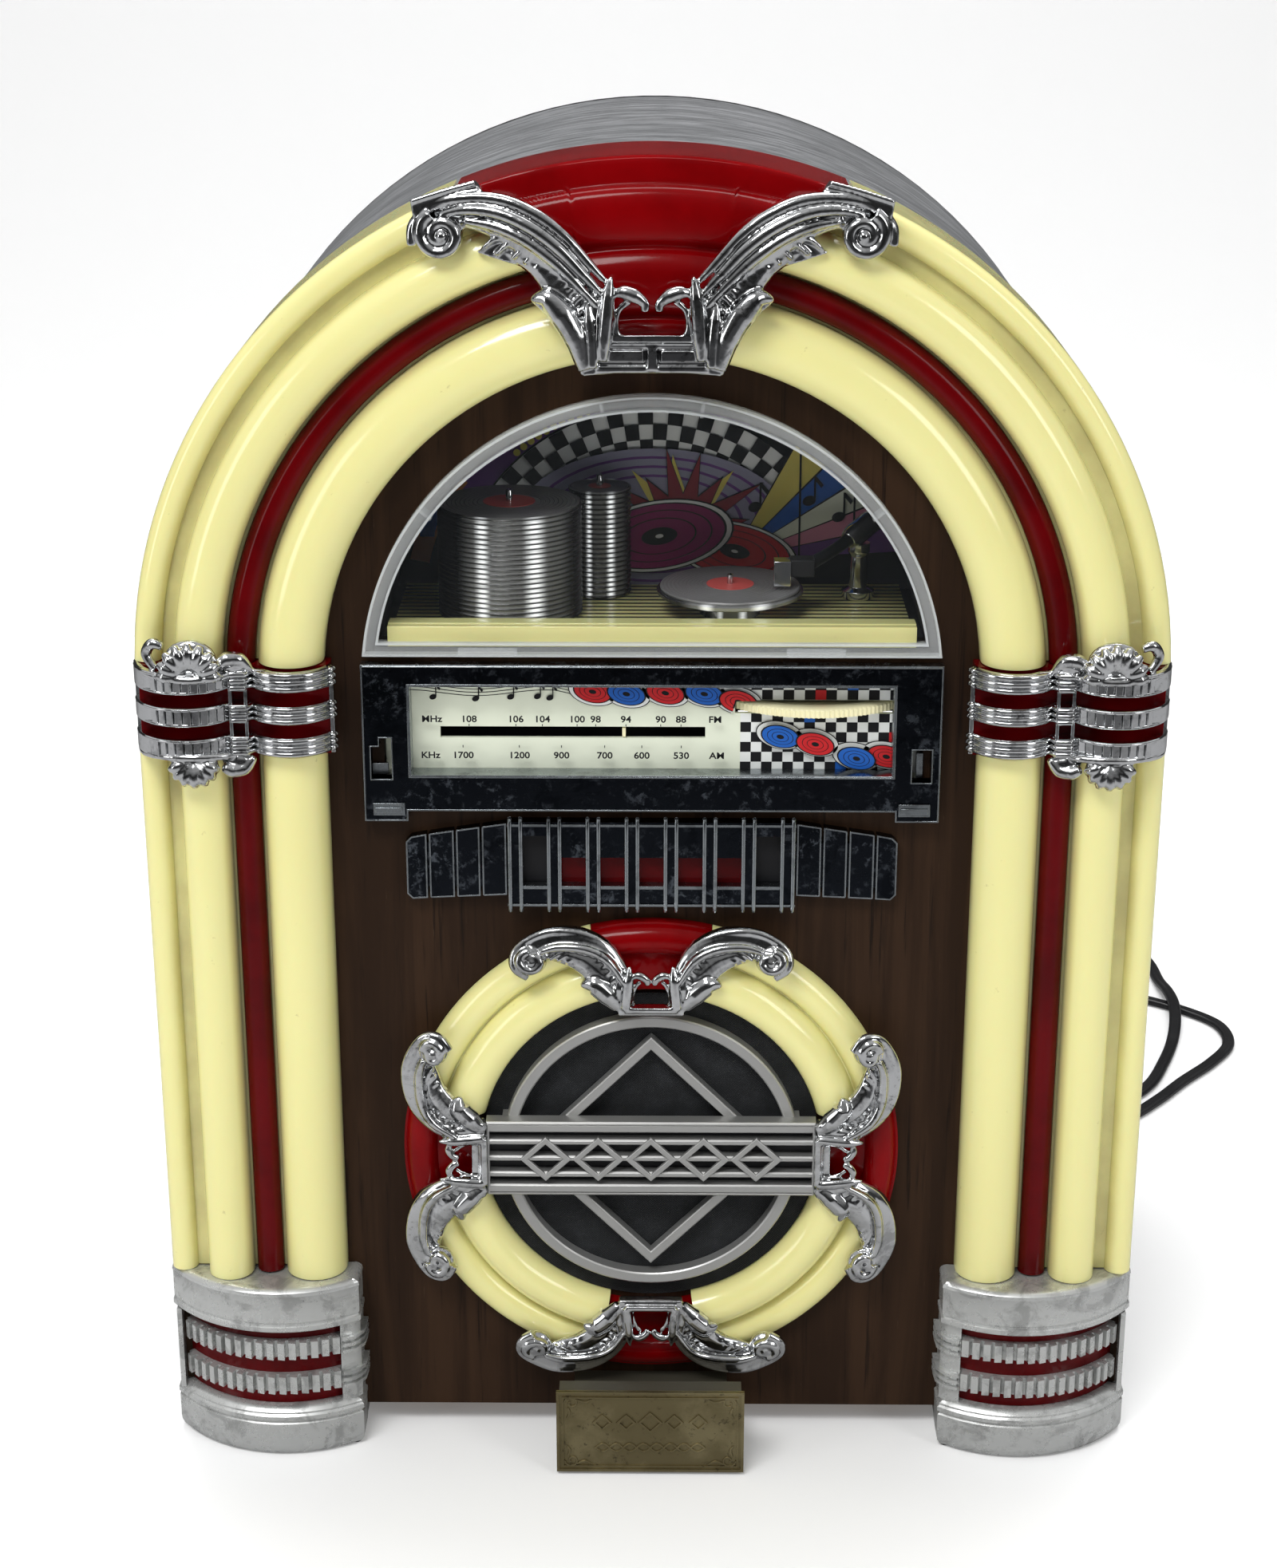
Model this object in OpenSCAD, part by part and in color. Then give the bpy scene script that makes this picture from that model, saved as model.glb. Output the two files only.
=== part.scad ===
// Tabletop jukebox radio with a side cassette deck.
// Front is -Y, up is +Z, and the origin is on the table below the middle of the case.
// Heights are z. A depth in front of the middle is written h, which is -y.

/* [Front] */
// Outer radius of the arch, and half the width of the front frame
frame_r = 149; // [148.6:0.1:149.4]
// Height of the centre of the arch above the table
spring_z = 250; // [248:0.5:252]
// Depth of the front board's face in front of the middle
board_h = 74; // [73:0.5:75]
// Thickness of the front board
board_t = 9; // [8:0.5:10]

/* [Case] */
// Outer radius of the wooden case
case_r = 147; // [146.6:0.1:147]
// Thickness of the case wall
case_t = 8; // [7:0.5:9]
// How far the case reaches behind the middle
case_back = 98; // [96:0.5:98]
// Thickness of the rear cover
cover_t = 4; // [3:0.5:4]
// Height of the case above the table
case_z = 8; // [6:0.5:9]

/* [Mouldings] */
// Inner radius of the cream arch
arch_in = 94.5; // [94:0.1:95]
// Inner radius of the red strip
strip_in = 113.2; // [112.8:0.1:113.6]
// Outer radius of the red strip
strip_out = 123.2; // [122.8:0.1:123.6]
// Outer radius of the outer cream tube
tube_out = 137; // [136.6:0.1:137.4]
// Depth of the tubes' crowns in front of the middle
tube_h = 86; // [85:0.1:86]

/* [Window] */
// Radius of the clear window cover
window_r = 83.5; // [82:0.5:84]
// Height of the window cover's lower edge
window_z = 258; // [257:0.5:258]

/* [Dial] */
// Half width of the dial bezel
bezel_x = 83.5; // [82:0.5:84]
// Radius of the tuning wheel
tuning_r = 34; // [33:0.5:34]
// Sideways place of the tuning wheel's axis
tuning_x = 47.6; // [47:0.1:48]
// Sideways place of the pointer at rest
pointer_x = -8.1; // [-12:0.1:0]

/* [Speaker] */
// Height of the speaker's centre
speaker_z = 100; // [98:0.5:101]
// Outer radius of the cream ring round the speaker
ring_out = 75.5; // [75:0.1:76]

/* [Cassette deck] */
// Half width of the cassette door
door_w = 55.6; // [55:0.1:56]
// Height of the cassette door
door_h = 75.2; // [75:0.1:76]

/* [Hidden] */
$fn = 96;

// Case
board_back = board_h - board_t;
wall_in = case_r - case_t;
base_t = 8;
screw_r = 3;
screw_head = 1.6;
screw_ring = 143;
foot_pad_r = 9;
vent_z = spring_z - 60;
vent_pitch = 9;
vent_w = 3;

// Front frame: its parts meet at these heights
foot_top = 59;
band_z0 = 229.5;
band_z1 = 256.5;
crest_half = 24;
arch_short = 7;
// Edge of the crest on the right in x and z, from the bottom up, under a wing of the ornament
crest_edge = [[14.6, 330], [16.5, 352], [33, 376], [54, 382], [58, 400]];
crest_left = [for (k = [len(crest_edge) - 1:-1:0]) [-crest_edge[k][0], crest_edge[k][1]]];
lamp_at = [16, 119];
lamp_hole_r = 6;
bead_in = 141;
web_t = 2;
strip_h = 81;
skirt_t = 1.8;
skirt_back = 45;
tube_in_r = (strip_in - arch_in) / 2;
tube_in_c = (strip_in + arch_in) / 2;
tube_out_r = (tube_out - strip_out) / 2;
tube_out_c = (tube_out + strip_out) / 2;
gap = 0.3;

// Chrome bands at the ends of the arch: [low, high] of each bar
band_bars = [[230.8, 236.5], [240.6, 246], [250, 255]];
band_lens_h = 82;
band_in = 90.5;
band_wrap_h = 58;
trim_x = 149.8;

// Chrome feet
foot_in = 90;
foot_c = [115, 50];
foot_arc_r = 43;
foot_rings = [[0, 17], [43, foot_top]];
foot_bars = [[20.6, 28.4], [32.8, 40.4]];
foot_step = 4;
foot_back = 45;

// Window and display
cover_h = 80;
cover_wall = 4;
cover_skin = 2;
opening_r = window_r - cover_wall;
opening_z = window_z + 2;
display_back = 12;
display_t = 3;
display_floor = window_z + 4;
ledge_x = 76;
ledge_h = 76;
ledge_z = 266.5;
ledge_back = 68;

// Records: [x, y, radius, height, number of discs]
big_stack = [-42, -46, 21.3, 33.6, 23];
small_stack = [-16, -24, 9.5, 33, 22];
platter = [23, -46, 20.8];
arm_pivot = [62, -29];

// Dial
bezel_z = [211.3, 255];
bezel_h = 79;
dial_win_x = 70.2;
dial_win_z = [221.6, 249.2];
dial_hole_x = 78;
dial_hole_z = [217, 252];
plate_h = 72;
plate_t = 1.5;
slot_x = [-61.7, 15.6];
slot_z = 233;
slot_w = 3.4;
tuning_t = 3;
tuning_z = 241;
tuning_y = -45.4;
tuning_axle_r = 3;
wheel_slot_x = 23.4;
bore_gap = 0.05;
rail_z = 226;
rail_y = -66;
rail_r = 1;
tab_z = 208;

// Selector trim
selector_z = [180.3, 207.4];
selector_x = 42.5;
selector_windows = 7;
selector_pitch = 11.43;
wing_x = 73.5;
selector_h = 79;

// Speaker
ring_in = 51.8;
speaker_hole_r = 46;
ring_mid = 64.7;
badge_r = 45.4;
badge_band = 3.6;
crest_arc = 14;
bar_x = 50;
bar_z = 12.4;

// Plaque
plaque_x = 29;
plaque_z = [1, 29.5];
plaque_h = 102;
plaque_plate_t = 1.5;
plaque_block_t = 6;
plaque_arm_z = 20;

// Left side controls
panel_y = [-20, 80];
panel_z = [148, 202];
panel_t = 1.2;
wheel_y = [0, 26];
wheel_z = 175;
wheel_r = 16.4;
wheel_x = -132.8;
wheel_t = 5;
wheel_slot_y = wheel_t / 2 + 0.5;
ear_y = 5.5;
bracket_x = -116;
switch_y = 52;
switch_zs = [164, 186];
switch_travel = 8;

// Right side cassette deck
deck_y = 22;
door_z = 116;
deck_flange = 1.5;
deck_in = wall_in - 20;
motor_x = 112;
spindle_y = 21.25;
deck_hole_y = [-38, 82];
deck_hole_z = [108, 216];
door_gap = 0.4;
door_hinge = [case_r - 0.5, door_z + 2.2];
door_pin_r = 1.2;
key_z = 204;
key_w = 30;
key_hgt = 12;
key_step = 34;
key_gap = 0.4;

// Mains lead: a flat twin cord that leaves the rear cover low on the right
cord_w = 5;
cord_t = 2.8;
cord_exit = [60, 40];
relief_len = 24;
relief_r = 4;
coil_c = [140, 303];
coil_mid_r = 27.5;
coil_w = 15;
coil_t = 6;
cord_route = [
    [60, 126, 40], [61, 138, 38.6], [64, 149, 33], [69, 159, 24], [75, 168, 14], [83, 175, 6],
    [94, 179, 2], [107, 178, 1.5], [120, 172, 1.5], [133, 162, 1.5], [145, 149, 1.5],
    [157, 139, 1.5], [171, 135, 1.5], [187, 143, 1.5], [201, 158, 1.5], [214, 175, 1.5],
    [229, 193, 1.5], [239, 210, 1.5], [239, 228, 1.5], [229, 242, 1.5], [211, 256, 1.5],
    [191, 266, 1.5], [171, 265, 1.5], [154, 253, 1.5], [145, 234, 1.5], [143, 212, 1.5],
    [147, 190, 1.5], [156, 168, 1.5], [171, 156, 1.5], [188, 159, 1.5], [200, 172, 1.5],
    [209, 192, 1.5], [216, 212, 1.5], [220, 228, 3.4], [222, 243, 4.8], [222, 258, 4.2],
    [221, 275, 2], [220, 296, 1.5], [214, 317, 1.5], [199, 332, 1.5], [179, 338, 1.5],
    [158, 337.2, 1.5], [146, 335.5, 1.5]
];
cord_tail = [[107.6, 297, 4.4], [107.2, 288, 4.5], [106.3, 279, 4.9], [104.9, 270, 5.3], [103, 262, 5.5]];
plug_at = [103, 262];

// ---------- helpers ----------

// Turns a profile of [radius, h] about the line through the arch's centre, from angle a to angle b
module arc(a, b, centre_z) {
    translate([0, 0, centre_z]) rotate([90, 0, 0]) rotate([0, 0, a])
        rotate_extrude(angle = b - a) children();
}

// Raises an outline drawn in x and z from depth h0 to depth h1, towards the front
module plate(h0, h1) {
    translate([0, -h0, 0]) rotate([90, 0, 0]) linear_extrude(h1 - h0) children();
}

// Stands a profile of [x, h] upright from z0 to z1; side is 1 on the right and -1 on the left
module upright(z0, z1, side) {
    translate([0, 0, z0]) linear_extrude(z1 - z0)
        if (side > 0) mirror([0, 1]) children(); else rotate([0, 0, 180]) children();
}

// Box from its lowest to its highest corner
module block(low, high) {
    translate(low) cube(high - low);
}

// Outline of the case in x and z: straight sides under a half circle
module case_outline(r, z0) {
    translate([0, spring_z]) circle(r);
    translate([-r, z0]) square([2 * r, spring_z - z0]);
}

// Half disc above the height z0, about the arch's centre
module half_disc(r, z0) {
    intersection() {
        translate([0, spring_z]) circle(r);
        translate([-r, z0]) square([2 * r, r + spring_z - z0]);
    }
}

// Crowned bar across a profile: a round front on straight sides down to h0
module crowned(centre, r, top, h0) intersection() {
    union() {
        translate([centre, top - r]) circle(r);
        translate([centre - r, h0]) square([2 * r, max(top - r - h0, 0.01)]);
    }
    translate([centre - r, h0]) square([2 * r, top - h0]);
}

// ---------- case ----------

module cabinet_shell() color("dimgray") difference() {
    translate([0, case_back, 0]) plate(0, case_back + board_back) difference() {
        case_outline(case_r, case_z);
        case_outline(wall_in, case_z - 1);
    }
    block([wall_in - 5, deck_hole_y[0], deck_hole_z[0]], [case_r + 5, deck_hole_y[1], deck_hole_z[1]]);
    block([-case_r - 5, panel_y[0] + 4, panel_z[0] + 4], [5 - wall_in, panel_y[1] - 4, panel_z[1] - 4]);
}

module front_board() color("saddlebrown") plate(board_back, board_h) difference() {
    case_outline(case_r, case_z);
    half_disc(opening_r, opening_z);
    translate([-dial_hole_x, dial_hole_z[0]]) square([2 * dial_hole_x, dial_hole_z[1] - dial_hole_z[0]]);
    translate([0, speaker_z]) circle(speaker_hole_r);
    for (s = [-1, 1]) translate([lamp_at[0] * s, spring_z + lamp_at[1]]) circle(lamp_hole_r);
}

module base_board() color("peru")
    block([-wall_in, -board_back, case_z], [wall_in, case_back, case_z + base_t]);

module rear_cover() color("black") difference() {
    translate([0, case_back + cover_t, 0]) plate(0, cover_t) case_outline(case_r, case_z);
    for (k = [-3:3], s = [-1, 1]) {
        low = vent_z + vent_pitch * k;
        block([s * 60 - 30, case_back - 1, low], [s * 60 + 30, case_back + 5, low + vent_w]);
    }
    at_rear_screws() at_back() {
        translate([0, 0, -1]) cylinder(r = 1.8, h = cover_t + 2);
        translate([0, 0, cover_t - screw_head]) cylinder(r = screw_r + 0.1, h = 3);
    }
    translate([cord_exit[0], 0, cord_exit[1]]) at_back()
        translate([0, 0, -1]) cylinder(r = relief_r + 0.1, h = 6);
}

// Turns a round thing onto the +Y axis at the back face of the case
module at_back() translate([0, case_back, 0]) rotate([-90, 0, 0]) children();

// Calls its children at each screw of the rear cover
module at_rear_screws() {
    for (a = [0:60:180]) translate([screw_ring * cos(a), 0, spring_z + screw_ring * sin(a)]) children();
    for (s = [-1, 1], z = [20, 130]) translate([screw_ring * s, 0, z]) children();
}

// Pan-head screws, their heads sunk in the rear cover
module rear_cover_screws() color("silver") at_rear_screws() at_back() {
    cylinder(r = 1.7, h = cover_t - 1);
    translate([0, 0, cover_t - screw_head]) cylinder(r = screw_r, h = screw_head - 0.1);
}

module rear_feet() color("black")
    for (s = [-1, 1]) translate([120 * s, 75, 0]) cylinder(r = foot_pad_r, h = case_z);

// ---------- front frame ----------

// Section of the cream frame: inner tube, web under the strip, outer tube, cove, bead and skirt
module frame_section() {
    crowned(tube_in_c, tube_in_r, tube_h, board_h);
    translate([strip_in - 1, board_h]) square([strip_out - strip_in + 2, web_t]);
    crowned(tube_out_c, tube_out_r, tube_h, board_h);
    translate([tube_out - 0.5, board_h]) square([bead_in - tube_out + 1, web_t]);
    crowned((bead_in + frame_r) / 2, (frame_r - bead_in) / 2, board_h + 6, board_h);
    translate([frame_r - skirt_t, skirt_back]) square([skirt_t, board_h - skirt_back + 1]);
}

module pilasters() color("lemonchiffon")
    for (s = [-1, 1]) upright(foot_top, band_z0, s) frame_section();

// The arch ends under the wings of the crown ornament, along the edge of the crest
module arch_mouldings() color("lemonchiffon") for (s = [-1, 1]) difference() {
    arch_half(s) frame_section();
    crest_prism();
}

// Half of the arch from the top of a mid band to an angle short of the top, well inside the crest
module arch_half(s) {
    if (s > 0) arch_clipped(0, 90 - arch_short) children();
    else arch_clipped(90 + arch_short, 180) children();
}

module arch_clipped(a, b) difference() {
    arc(a, b, spring_z) children();
    block([-frame_r - 5, -board_h - 20, spring_z - 1], [frame_r + 5, 0, band_z1]);
}

module strip_section() {
    crowned((strip_in + strip_out) / 2, 4.2, strip_h, board_h + web_t);
}

module red_strips() color("darkred") for (s = [-1, 1]) {
    upright(foot_top, band_z0, s) strip_section();
    difference() {
        arch_half(s) strip_section();
        crest_prism();
    }
}

// Stepped red crest at the top of the arch, narrower towards the window
module crown_crest() color("crimson") intersection() {
    arc(90 - crest_half, 90 + crest_half, spring_z) crest_section();
    crest_prism();
}

// Everything between the crest's two edges, which the arch and its strips stop at
module crest_prism() plate(skirt_back - 2, tube_h + 4) polygon(concat(crest_edge, crest_left));

// Section of the crest, open at the back over the lamps
module crest_section() difference() {
    union() {
        crowned(100, 5.5, tube_h - 4, board_h);
        crowned(109, 5, tube_h - 1.5, board_h);
        crowned(122.5, 9.5, tube_h, board_h);
        crowned(135, 7, tube_h - 2, board_h);
        crowned((bead_in + frame_r) / 2, (frame_r - bead_in) / 2, board_h + 6, board_h);
        translate([arch_in + 1, board_h]) square([bead_in - arch_in, 5]);
        translate([frame_r - skirt_t, skirt_back]) square([skirt_t, board_h - skirt_back + 1]);
    }
    translate([115, board_h - 1]) square([16, 7]);
}

module crown_lamps() color("khaki") for (s = [-1, 1])
    translate([lamp_at[0] * s, 0, spring_z + lamp_at[1]]) {
    translate([0, -board_back + 6, 0]) rotate([90, 0, 0]) cylinder(r = 4.5, h = 9);
    translate([0, -board_back - 3, 0]) rotate([90, 0, 0]) cylinder(r = 3.2, h = 8);
    translate([0, -board_back - 11, 0]) sphere(r = 3.2);
}

// Pair of acanthus wings that rise from a block below the crest
module crown_ornament() color("silver") plate(tube_h + 0.2, 95) {
    difference() {
        union() {
            translate([-19.5, 341.5]) square([39, 9]);
            for (s = [-1, 1]) crown_wing(s);
        }
        translate([-8, 351.5]) square([16, 8]);
    }
}

module crown_wing(s) {
    link([14 * s, 347], 5.5, [13 * s, 362], 6.5);
    link([13 * s, 362], 6.5, [33 * s, 376], 9.5);
    link([33 * s, 376], 9.5, [55 * s, 382], 9);
    translate([s * 56, 381]) circle(9.6, $fn = 48);
    translate([s * 58 - 6, 385]) square([12, 9.3]);
    link([24 * s, 362], 4, [33 * s, 364], 2.4);
    translate([s > 0 ? -0.5 : -13, 359]) square([13.5, 4]);
}

module link(a, ra, b, rb) hull() {
    translate(a) circle(ra, $fn = 32);
    translate(b) circle(rb, $fn = 32);
}

// Section of a chrome band: a bulge over each tube, a post between them and a wrap round the side
module band_section(h0) {
    difference() {
        union() {
            translate([tube_in_c, 76.6]) circle(13.4);
            translate([133.4, 76]) circle(15.6);
            translate([115, band_lens_h]) square([6, 5]);
        }
        translate([band_in - 10, 0]) square([70, band_lens_h]);
        translate([trim_x, 0]) square([20, 120]);
    }
    translate([case_r + 0.3, band_wrap_h]) square([trim_x - case_r - 0.3, band_lens_h - band_wrap_h + 3]);
}

// Three bars joined by a post at each end of them, with a scallop shell above and below
module band(side) color("silver") {
    for (b = band_bars) upright(b[0], b[1], side) band_section();
    upright(band_z0 + gap, band_z1 - gap, side) translate([115, band_lens_h]) square([6, 5]);
    upright(band_z0 + gap, band_z1 - gap, side)
        translate([case_r + 0.3, band_wrap_h]) square([trim_x - case_r - 0.3, 6]);
    plate(tube_h + 0.2, 90) {
        shell_outline(side * 130.5, band_bars[2][1] - 2, 12.5, 0);
        shell_outline(side * 130.5, band_bars[0][0] + 2, 12.5, 180);
    }
}

module shell_outline(x, z, r, turn) translate([x, z]) rotate([0, 0, turn]) intersection() {
    circle(r, $fn = 48);
    translate([-r, 0]) square([2 * r, r]);
}

module band_left() band(-1);
module band_right() band(1);

// Plan of a chrome foot, drawn in x and h, in front of the board
module foot_plan(inset) intersection() {
    translate(foot_c) circle(foot_arc_r - inset);
    translate([foot_in + inset, board_h]) square([trim_x - foot_in - 2 * inset, 30]);
}

module foot(side) color("silver") {
    for (r = foot_rings) upright(r[0], r[1], side) {
        foot_plan(0);
        translate([case_r + 0.3, foot_back]) square([trim_x - case_r - 0.3, board_h - foot_back + 1]);
    }
    for (b = foot_bars) upright(b[0], b[1], side) difference() {
        foot_plan(1);
        translate([foot_in + foot_step, board_h - 1]) square([trim_x - foot_in - 2 * foot_step, 11]);
        translate(foot_c) circle(foot_arc_r - foot_step);
    }
    upright(foot_rings[0][1] - 1, foot_rings[1][0] + 1, side) {
        translate([case_r + 0.3, foot_back]) square([trim_x - case_r - 0.3, board_h - foot_back + 3]);
        translate([foot_in + 0.5, board_h]) square([2.5, 9]);
    }
    upright(0, case_z - gap, side)
        translate([foot_in, foot_back]) square([trim_x - foot_in, board_h - foot_back + 1]);
}

module foot_left() foot(-1);
module foot_right() foot(1);

// Dark red glass behind the bars of the bands and of the feet
module trim_lenses() color("maroon") for (s = [-1, 1]) {
    upright(band_z0 + gap, band_z1 - gap, s)
        translate([band_in + 2, board_h]) square([case_r - band_in - 2, band_lens_h - board_h - gap]);
    upright(foot_rings[0][1], foot_rings[1][0], s) intersection() {
        translate(foot_c) circle(foot_arc_r - foot_step - 0.6);
        translate([foot_in + 3.4, board_h]) square([case_r - foot_in - 3.6, 30]);
    }
}

// ---------- window and display ----------

module window_cover() color("lightcyan", 0.4) difference() {
    plate(board_h, cover_h) half_disc(window_r, window_z);
    plate(board_h - 1, cover_h - cover_skin) half_disc(opening_r, opening_z);
}

module display_box() color("black") difference() {
    plate(display_back - display_t, board_back) half_disc(opening_r + display_t, opening_z - display_t);
    plate(display_back, board_back + 1) half_disc(opening_r, opening_z);
}

module display_backdrop() color("orchid") plate(display_back, display_back + 1.2)
    half_disc(opening_r - gap, display_floor);

// Cream sill inside the window, with the striped floor behind it
module display_ledge() color("lemonchiffon") {
    block([-ledge_x, -ledge_h, opening_z], [ledge_x, -ledge_back, ledge_z]);
    block([-ledge_x, -ledge_back, opening_z], [ledge_x, -display_back, display_floor]);
}

module record_stacks() color("silver") for (s = [big_stack, small_stack])
    translate([s[0], s[1], display_floor]) {
        cylinder(r = s[2] * 0.3, h = s[3] - 1);
        for (k = [1:s[4]]) translate([0, 0, k * s[3] / s[4] - 0.9]) cylinder(r = s[2], h = 0.9);
        cylinder(r = 1, h = s[3] + 3.6);
    }

module turntable() color("dimgray") translate([platter[0], platter[1], display_floor]) {
    cylinder(r = 9, h = 6);
    translate([0, 0, 6]) cylinder(r = platter[2] + 1, h = 1.6);
    translate([0, 0, 7.6]) cylinder(r = platter[2], h = 1.2);
    cylinder(r = 0.9, h = 12);
}

module tonearm() color("silver") {
    translate([arm_pivot[0], arm_pivot[1], display_floor]) {
        cylinder(r = 5, h = 3);
        cylinder(r = 2.4, h = 18);
        translate([0, 0, 17]) sphere(r = 4);
    }
    hull() {
        translate([arm_pivot[0], arm_pivot[1], 280]) sphere(r = 1.6, $fn = 24);
        translate([46, -48.5, 277.5]) sphere(r = 1.6, $fn = 24);
    }
    translate([35.5, -53.4, 272]) cube([12, 7, 7.5]);
}

// ---------- dial ----------

module dial_bezel() color("slategray") {
    plate(board_h, bezel_h) difference() {
        translate([-bezel_x, bezel_z[0]]) square([2 * bezel_x, bezel_z[1] - bezel_z[0]]);
        translate([-dial_win_x, dial_win_z[0]]) square([2 * dial_win_x, dial_win_z[1] - dial_win_z[0]]);
    }
    for (s = [-1, 1]) plate(board_h, bezel_h - 1)
        translate([s * (bezel_x - 6) - 6, tab_z]) square([12, bezel_z[0] - tab_z + 1]);
}

module dial_plate() color("beige") plate(plate_h - plate_t, plate_h) difference() {
    translate([-dial_hole_x + 0.2, dial_hole_z[0] + 0.2])
        square([2 * dial_hole_x - 0.4, dial_hole_z[1] - dial_hole_z[0] - 0.4]);
    translate([slot_x[0], slot_z - slot_w / 2]) square([slot_x[1] - slot_x[0], slot_w]);
    translate([tuning_x - wheel_slot_x, tuning_z - tuning_t / 2 - 0.5])
        square([2 * wheel_slot_x, tuning_t + 1]);
}

// Shelf behind the dial that carries the tuning capacitor and the pointer's rail
module dial_bracket() color("lightgray") {
    block([-76, -69.5, 217.4], [76, -55, 219]);
    block([28, -55, 217.4], [67, -28, 219]);
    block([-44, -board_back, 205], [44, -board_back + 2, 217.4]);
    for (x = [-74, 22]) block([x, rail_y - 3, 219], [x + 2, rail_y + 3, rail_z + 3]);
    translate([-74, rail_y, rail_z]) rotate([0, 90, 0]) cylinder(r = rail_r, h = 98);
}

module dial_pointer() color("lemonchiffon") difference() {
    union() {
        block([pointer_x - 3, rail_y - 2.5, rail_z - 2.5], [pointer_x + 3, rail_y + 2.5, rail_z + 2.5]);
        block([pointer_x - 0.5, rail_y - 3.6, rail_z + 1], [pointer_x + 0.5, rail_y - 2, slot_z + 1.2]);
        block([pointer_x - 0.5, -plate_h - 0.2, slot_z - 1.3], [pointer_x + 0.5, rail_y - 2, slot_z + 1.3]);
    }
    translate([pointer_x - 5, rail_y, rail_z]) rotate([0, 90, 0]) cylinder(r = rail_r + bore_gap, h = 10);
}

module tuning_wheel() color("lemonchiffon") translate([tuning_x, tuning_y, 0]) {
    translate([0, 0, tuning_z - tuning_t / 2]) cylinder(r = tuning_r, h = tuning_t);
    translate([0, 0, tuning_z - tuning_t / 2 - 2]) cylinder(r = 7, h = 2);
    translate([0, 0, 226]) cylinder(r = tuning_axle_r, h = 12);
}

module tuning_capacitor() color("ivory") difference() {
    block([tuning_x - 10, tuning_y - 10, 219], [tuning_x + 10, tuning_y + 10, 235]);
    translate([tuning_x, tuning_y, 225.5]) cylinder(r = tuning_axle_r + bore_gap, h = 11);
}

// ---------- selector trim ----------

module selector_trim() color("slategray") {
    plate(board_h, selector_h) difference() {
        translate([-selector_x, selector_z[0]]) square([2 * selector_x, selector_z[1] - selector_z[0]]);
        for (k = [0:selector_windows - 1]) selector_hole(k);
    }
    for (s = [-1, 1]) plate(board_h, selector_h - 1.5) polygon([
        [s * selector_x, selector_z[0] + 1], [s * wing_x, selector_z[0] + 3],
        [s * wing_x, selector_z[1] - 5], [s * selector_x, selector_z[1] - 1]
    ]);
}

// Windows between the ribs; only the first and the last are open to their full height
module selector_hole(k) {
    whole = k == 0 || k == selector_windows - 1;
    top = whole ? selector_z[1] - 3.5 : selector_z[0] + 14;
    translate([(k - selector_windows / 2) * selector_pitch + 1.7, selector_z[0] + 5])
        square([selector_pitch - 3.4, top - selector_z[0] - 5]);
}

module selector_lens() color("darkred") for (k = [0:selector_windows - 1])
    plate(board_h, board_h + 1)
        translate([(k - selector_windows / 2) * selector_pitch + 1.9, selector_z[0] + 5.2])
        square([selector_pitch - 3.8, 8.6]);

// ---------- speaker ----------

// Section of the cream ring: two tubes side by side
module ring_section() {
    crowned((ring_in + ring_mid) / 2, (ring_mid - ring_in) / 2, 82, board_h);
    translate([ring_mid - 2, board_h]) square([6, web_t]);
    intersection() {
        translate([(ring_mid + ring_out) / 2, board_h]) circle((ring_out - ring_mid) / 2);
        translate([ring_mid, board_h]) square([20, 20]);
    }
}

module speaker_ring() color("lemonchiffon")
    for (a = [0:90:270]) arc(a + crest_arc, a + 90 - crest_arc, speaker_z) ring_section();

module speaker_crests() color("crimson") for (a = [0:90:270])
    arc(a - crest_arc + 0.2, a + crest_arc - 0.2, speaker_z) {
        translate([ring_in + 2, board_h]) square([ring_out - ring_in - 2, 3.5]);
        crowned((ring_mid + ring_out) / 2, 5, 81, board_h);
    }

// Chrome ornaments over the joints of the ring, at the top, bottom, left and right
module speaker_ornaments() color("silver") {
    translate([0, 0, speaker_z]) plate(82.2, 86) {
        ornament(66, 40.5);
        rotate([0, 0, 180]) ornament(62, 40);
        rotate([0, 0, 90]) ornament(64.2, 41.5);
        rotate([0, 0, -90]) ornament(64.2, 41.5);
    }
    // Legs outside the ring carry the ornaments on the board
    for (a = [0:90:270], s = [-1, 1]) translate([0, 0, speaker_z]) rotate([0, a, 0])
        translate([s * 20, -board_h, ring_out + 1.1]) rotate([90, 0, 0]) cylinder(r = 1.6, h = 9);
}

// Two scrolls that spread from a small block across the ring, at radius r and half this wide
module ornament(r, half) {
    translate([-13, r - 14]) square([26, 5]);
    for (s = [-1, 1]) {
        polygon([[s * 6, r - 14], [s * 14, r - 12], [s * 16, r + 2], [s * 12, r + 12], [s * 7, r]]);
        polygon([[s * 10, r + 2], [s * 22, r + 4], [s * (half - 7), r + 1], [s * (half - 6), r + 8],
            [s * 28, r + 13.4], [s * 14, r + 13.4]]);
        translate([s * (half - 6.2), r + 2.6]) circle(6.2, $fn = 32);
    }
}

module speaker_badge() color("gray") {
    translate([0, 0, speaker_z]) plate(board_h + 1, board_h + 5.5) {
        difference() {
            circle(badge_r);
            circle(badge_r - badge_band);
        }
        difference() {
            rotate([0, 0, 45]) square(54, center = true);
            rotate([0, 0, 45]) square(49, center = true);
        }
        for (s = [-1, 1]) translate([-1, s * 40 - 3.5]) square([2, 7]);
    }
    translate([0, 0, speaker_z]) plate(board_h + 5, board_h + 10) difference() {
        translate([-bar_x, -bar_z]) square([2 * bar_x, 2 * bar_z]);
        for (z = [-8.9, -4, 0.9, 5.8]) translate([-bar_x + 2, z]) square([2 * bar_x - 4, 3.1]);
    }
}

module grille_cloth() color("black") translate([0, 0, speaker_z])
    plate(board_h, board_h + 1) circle(ring_in - gap);

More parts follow.
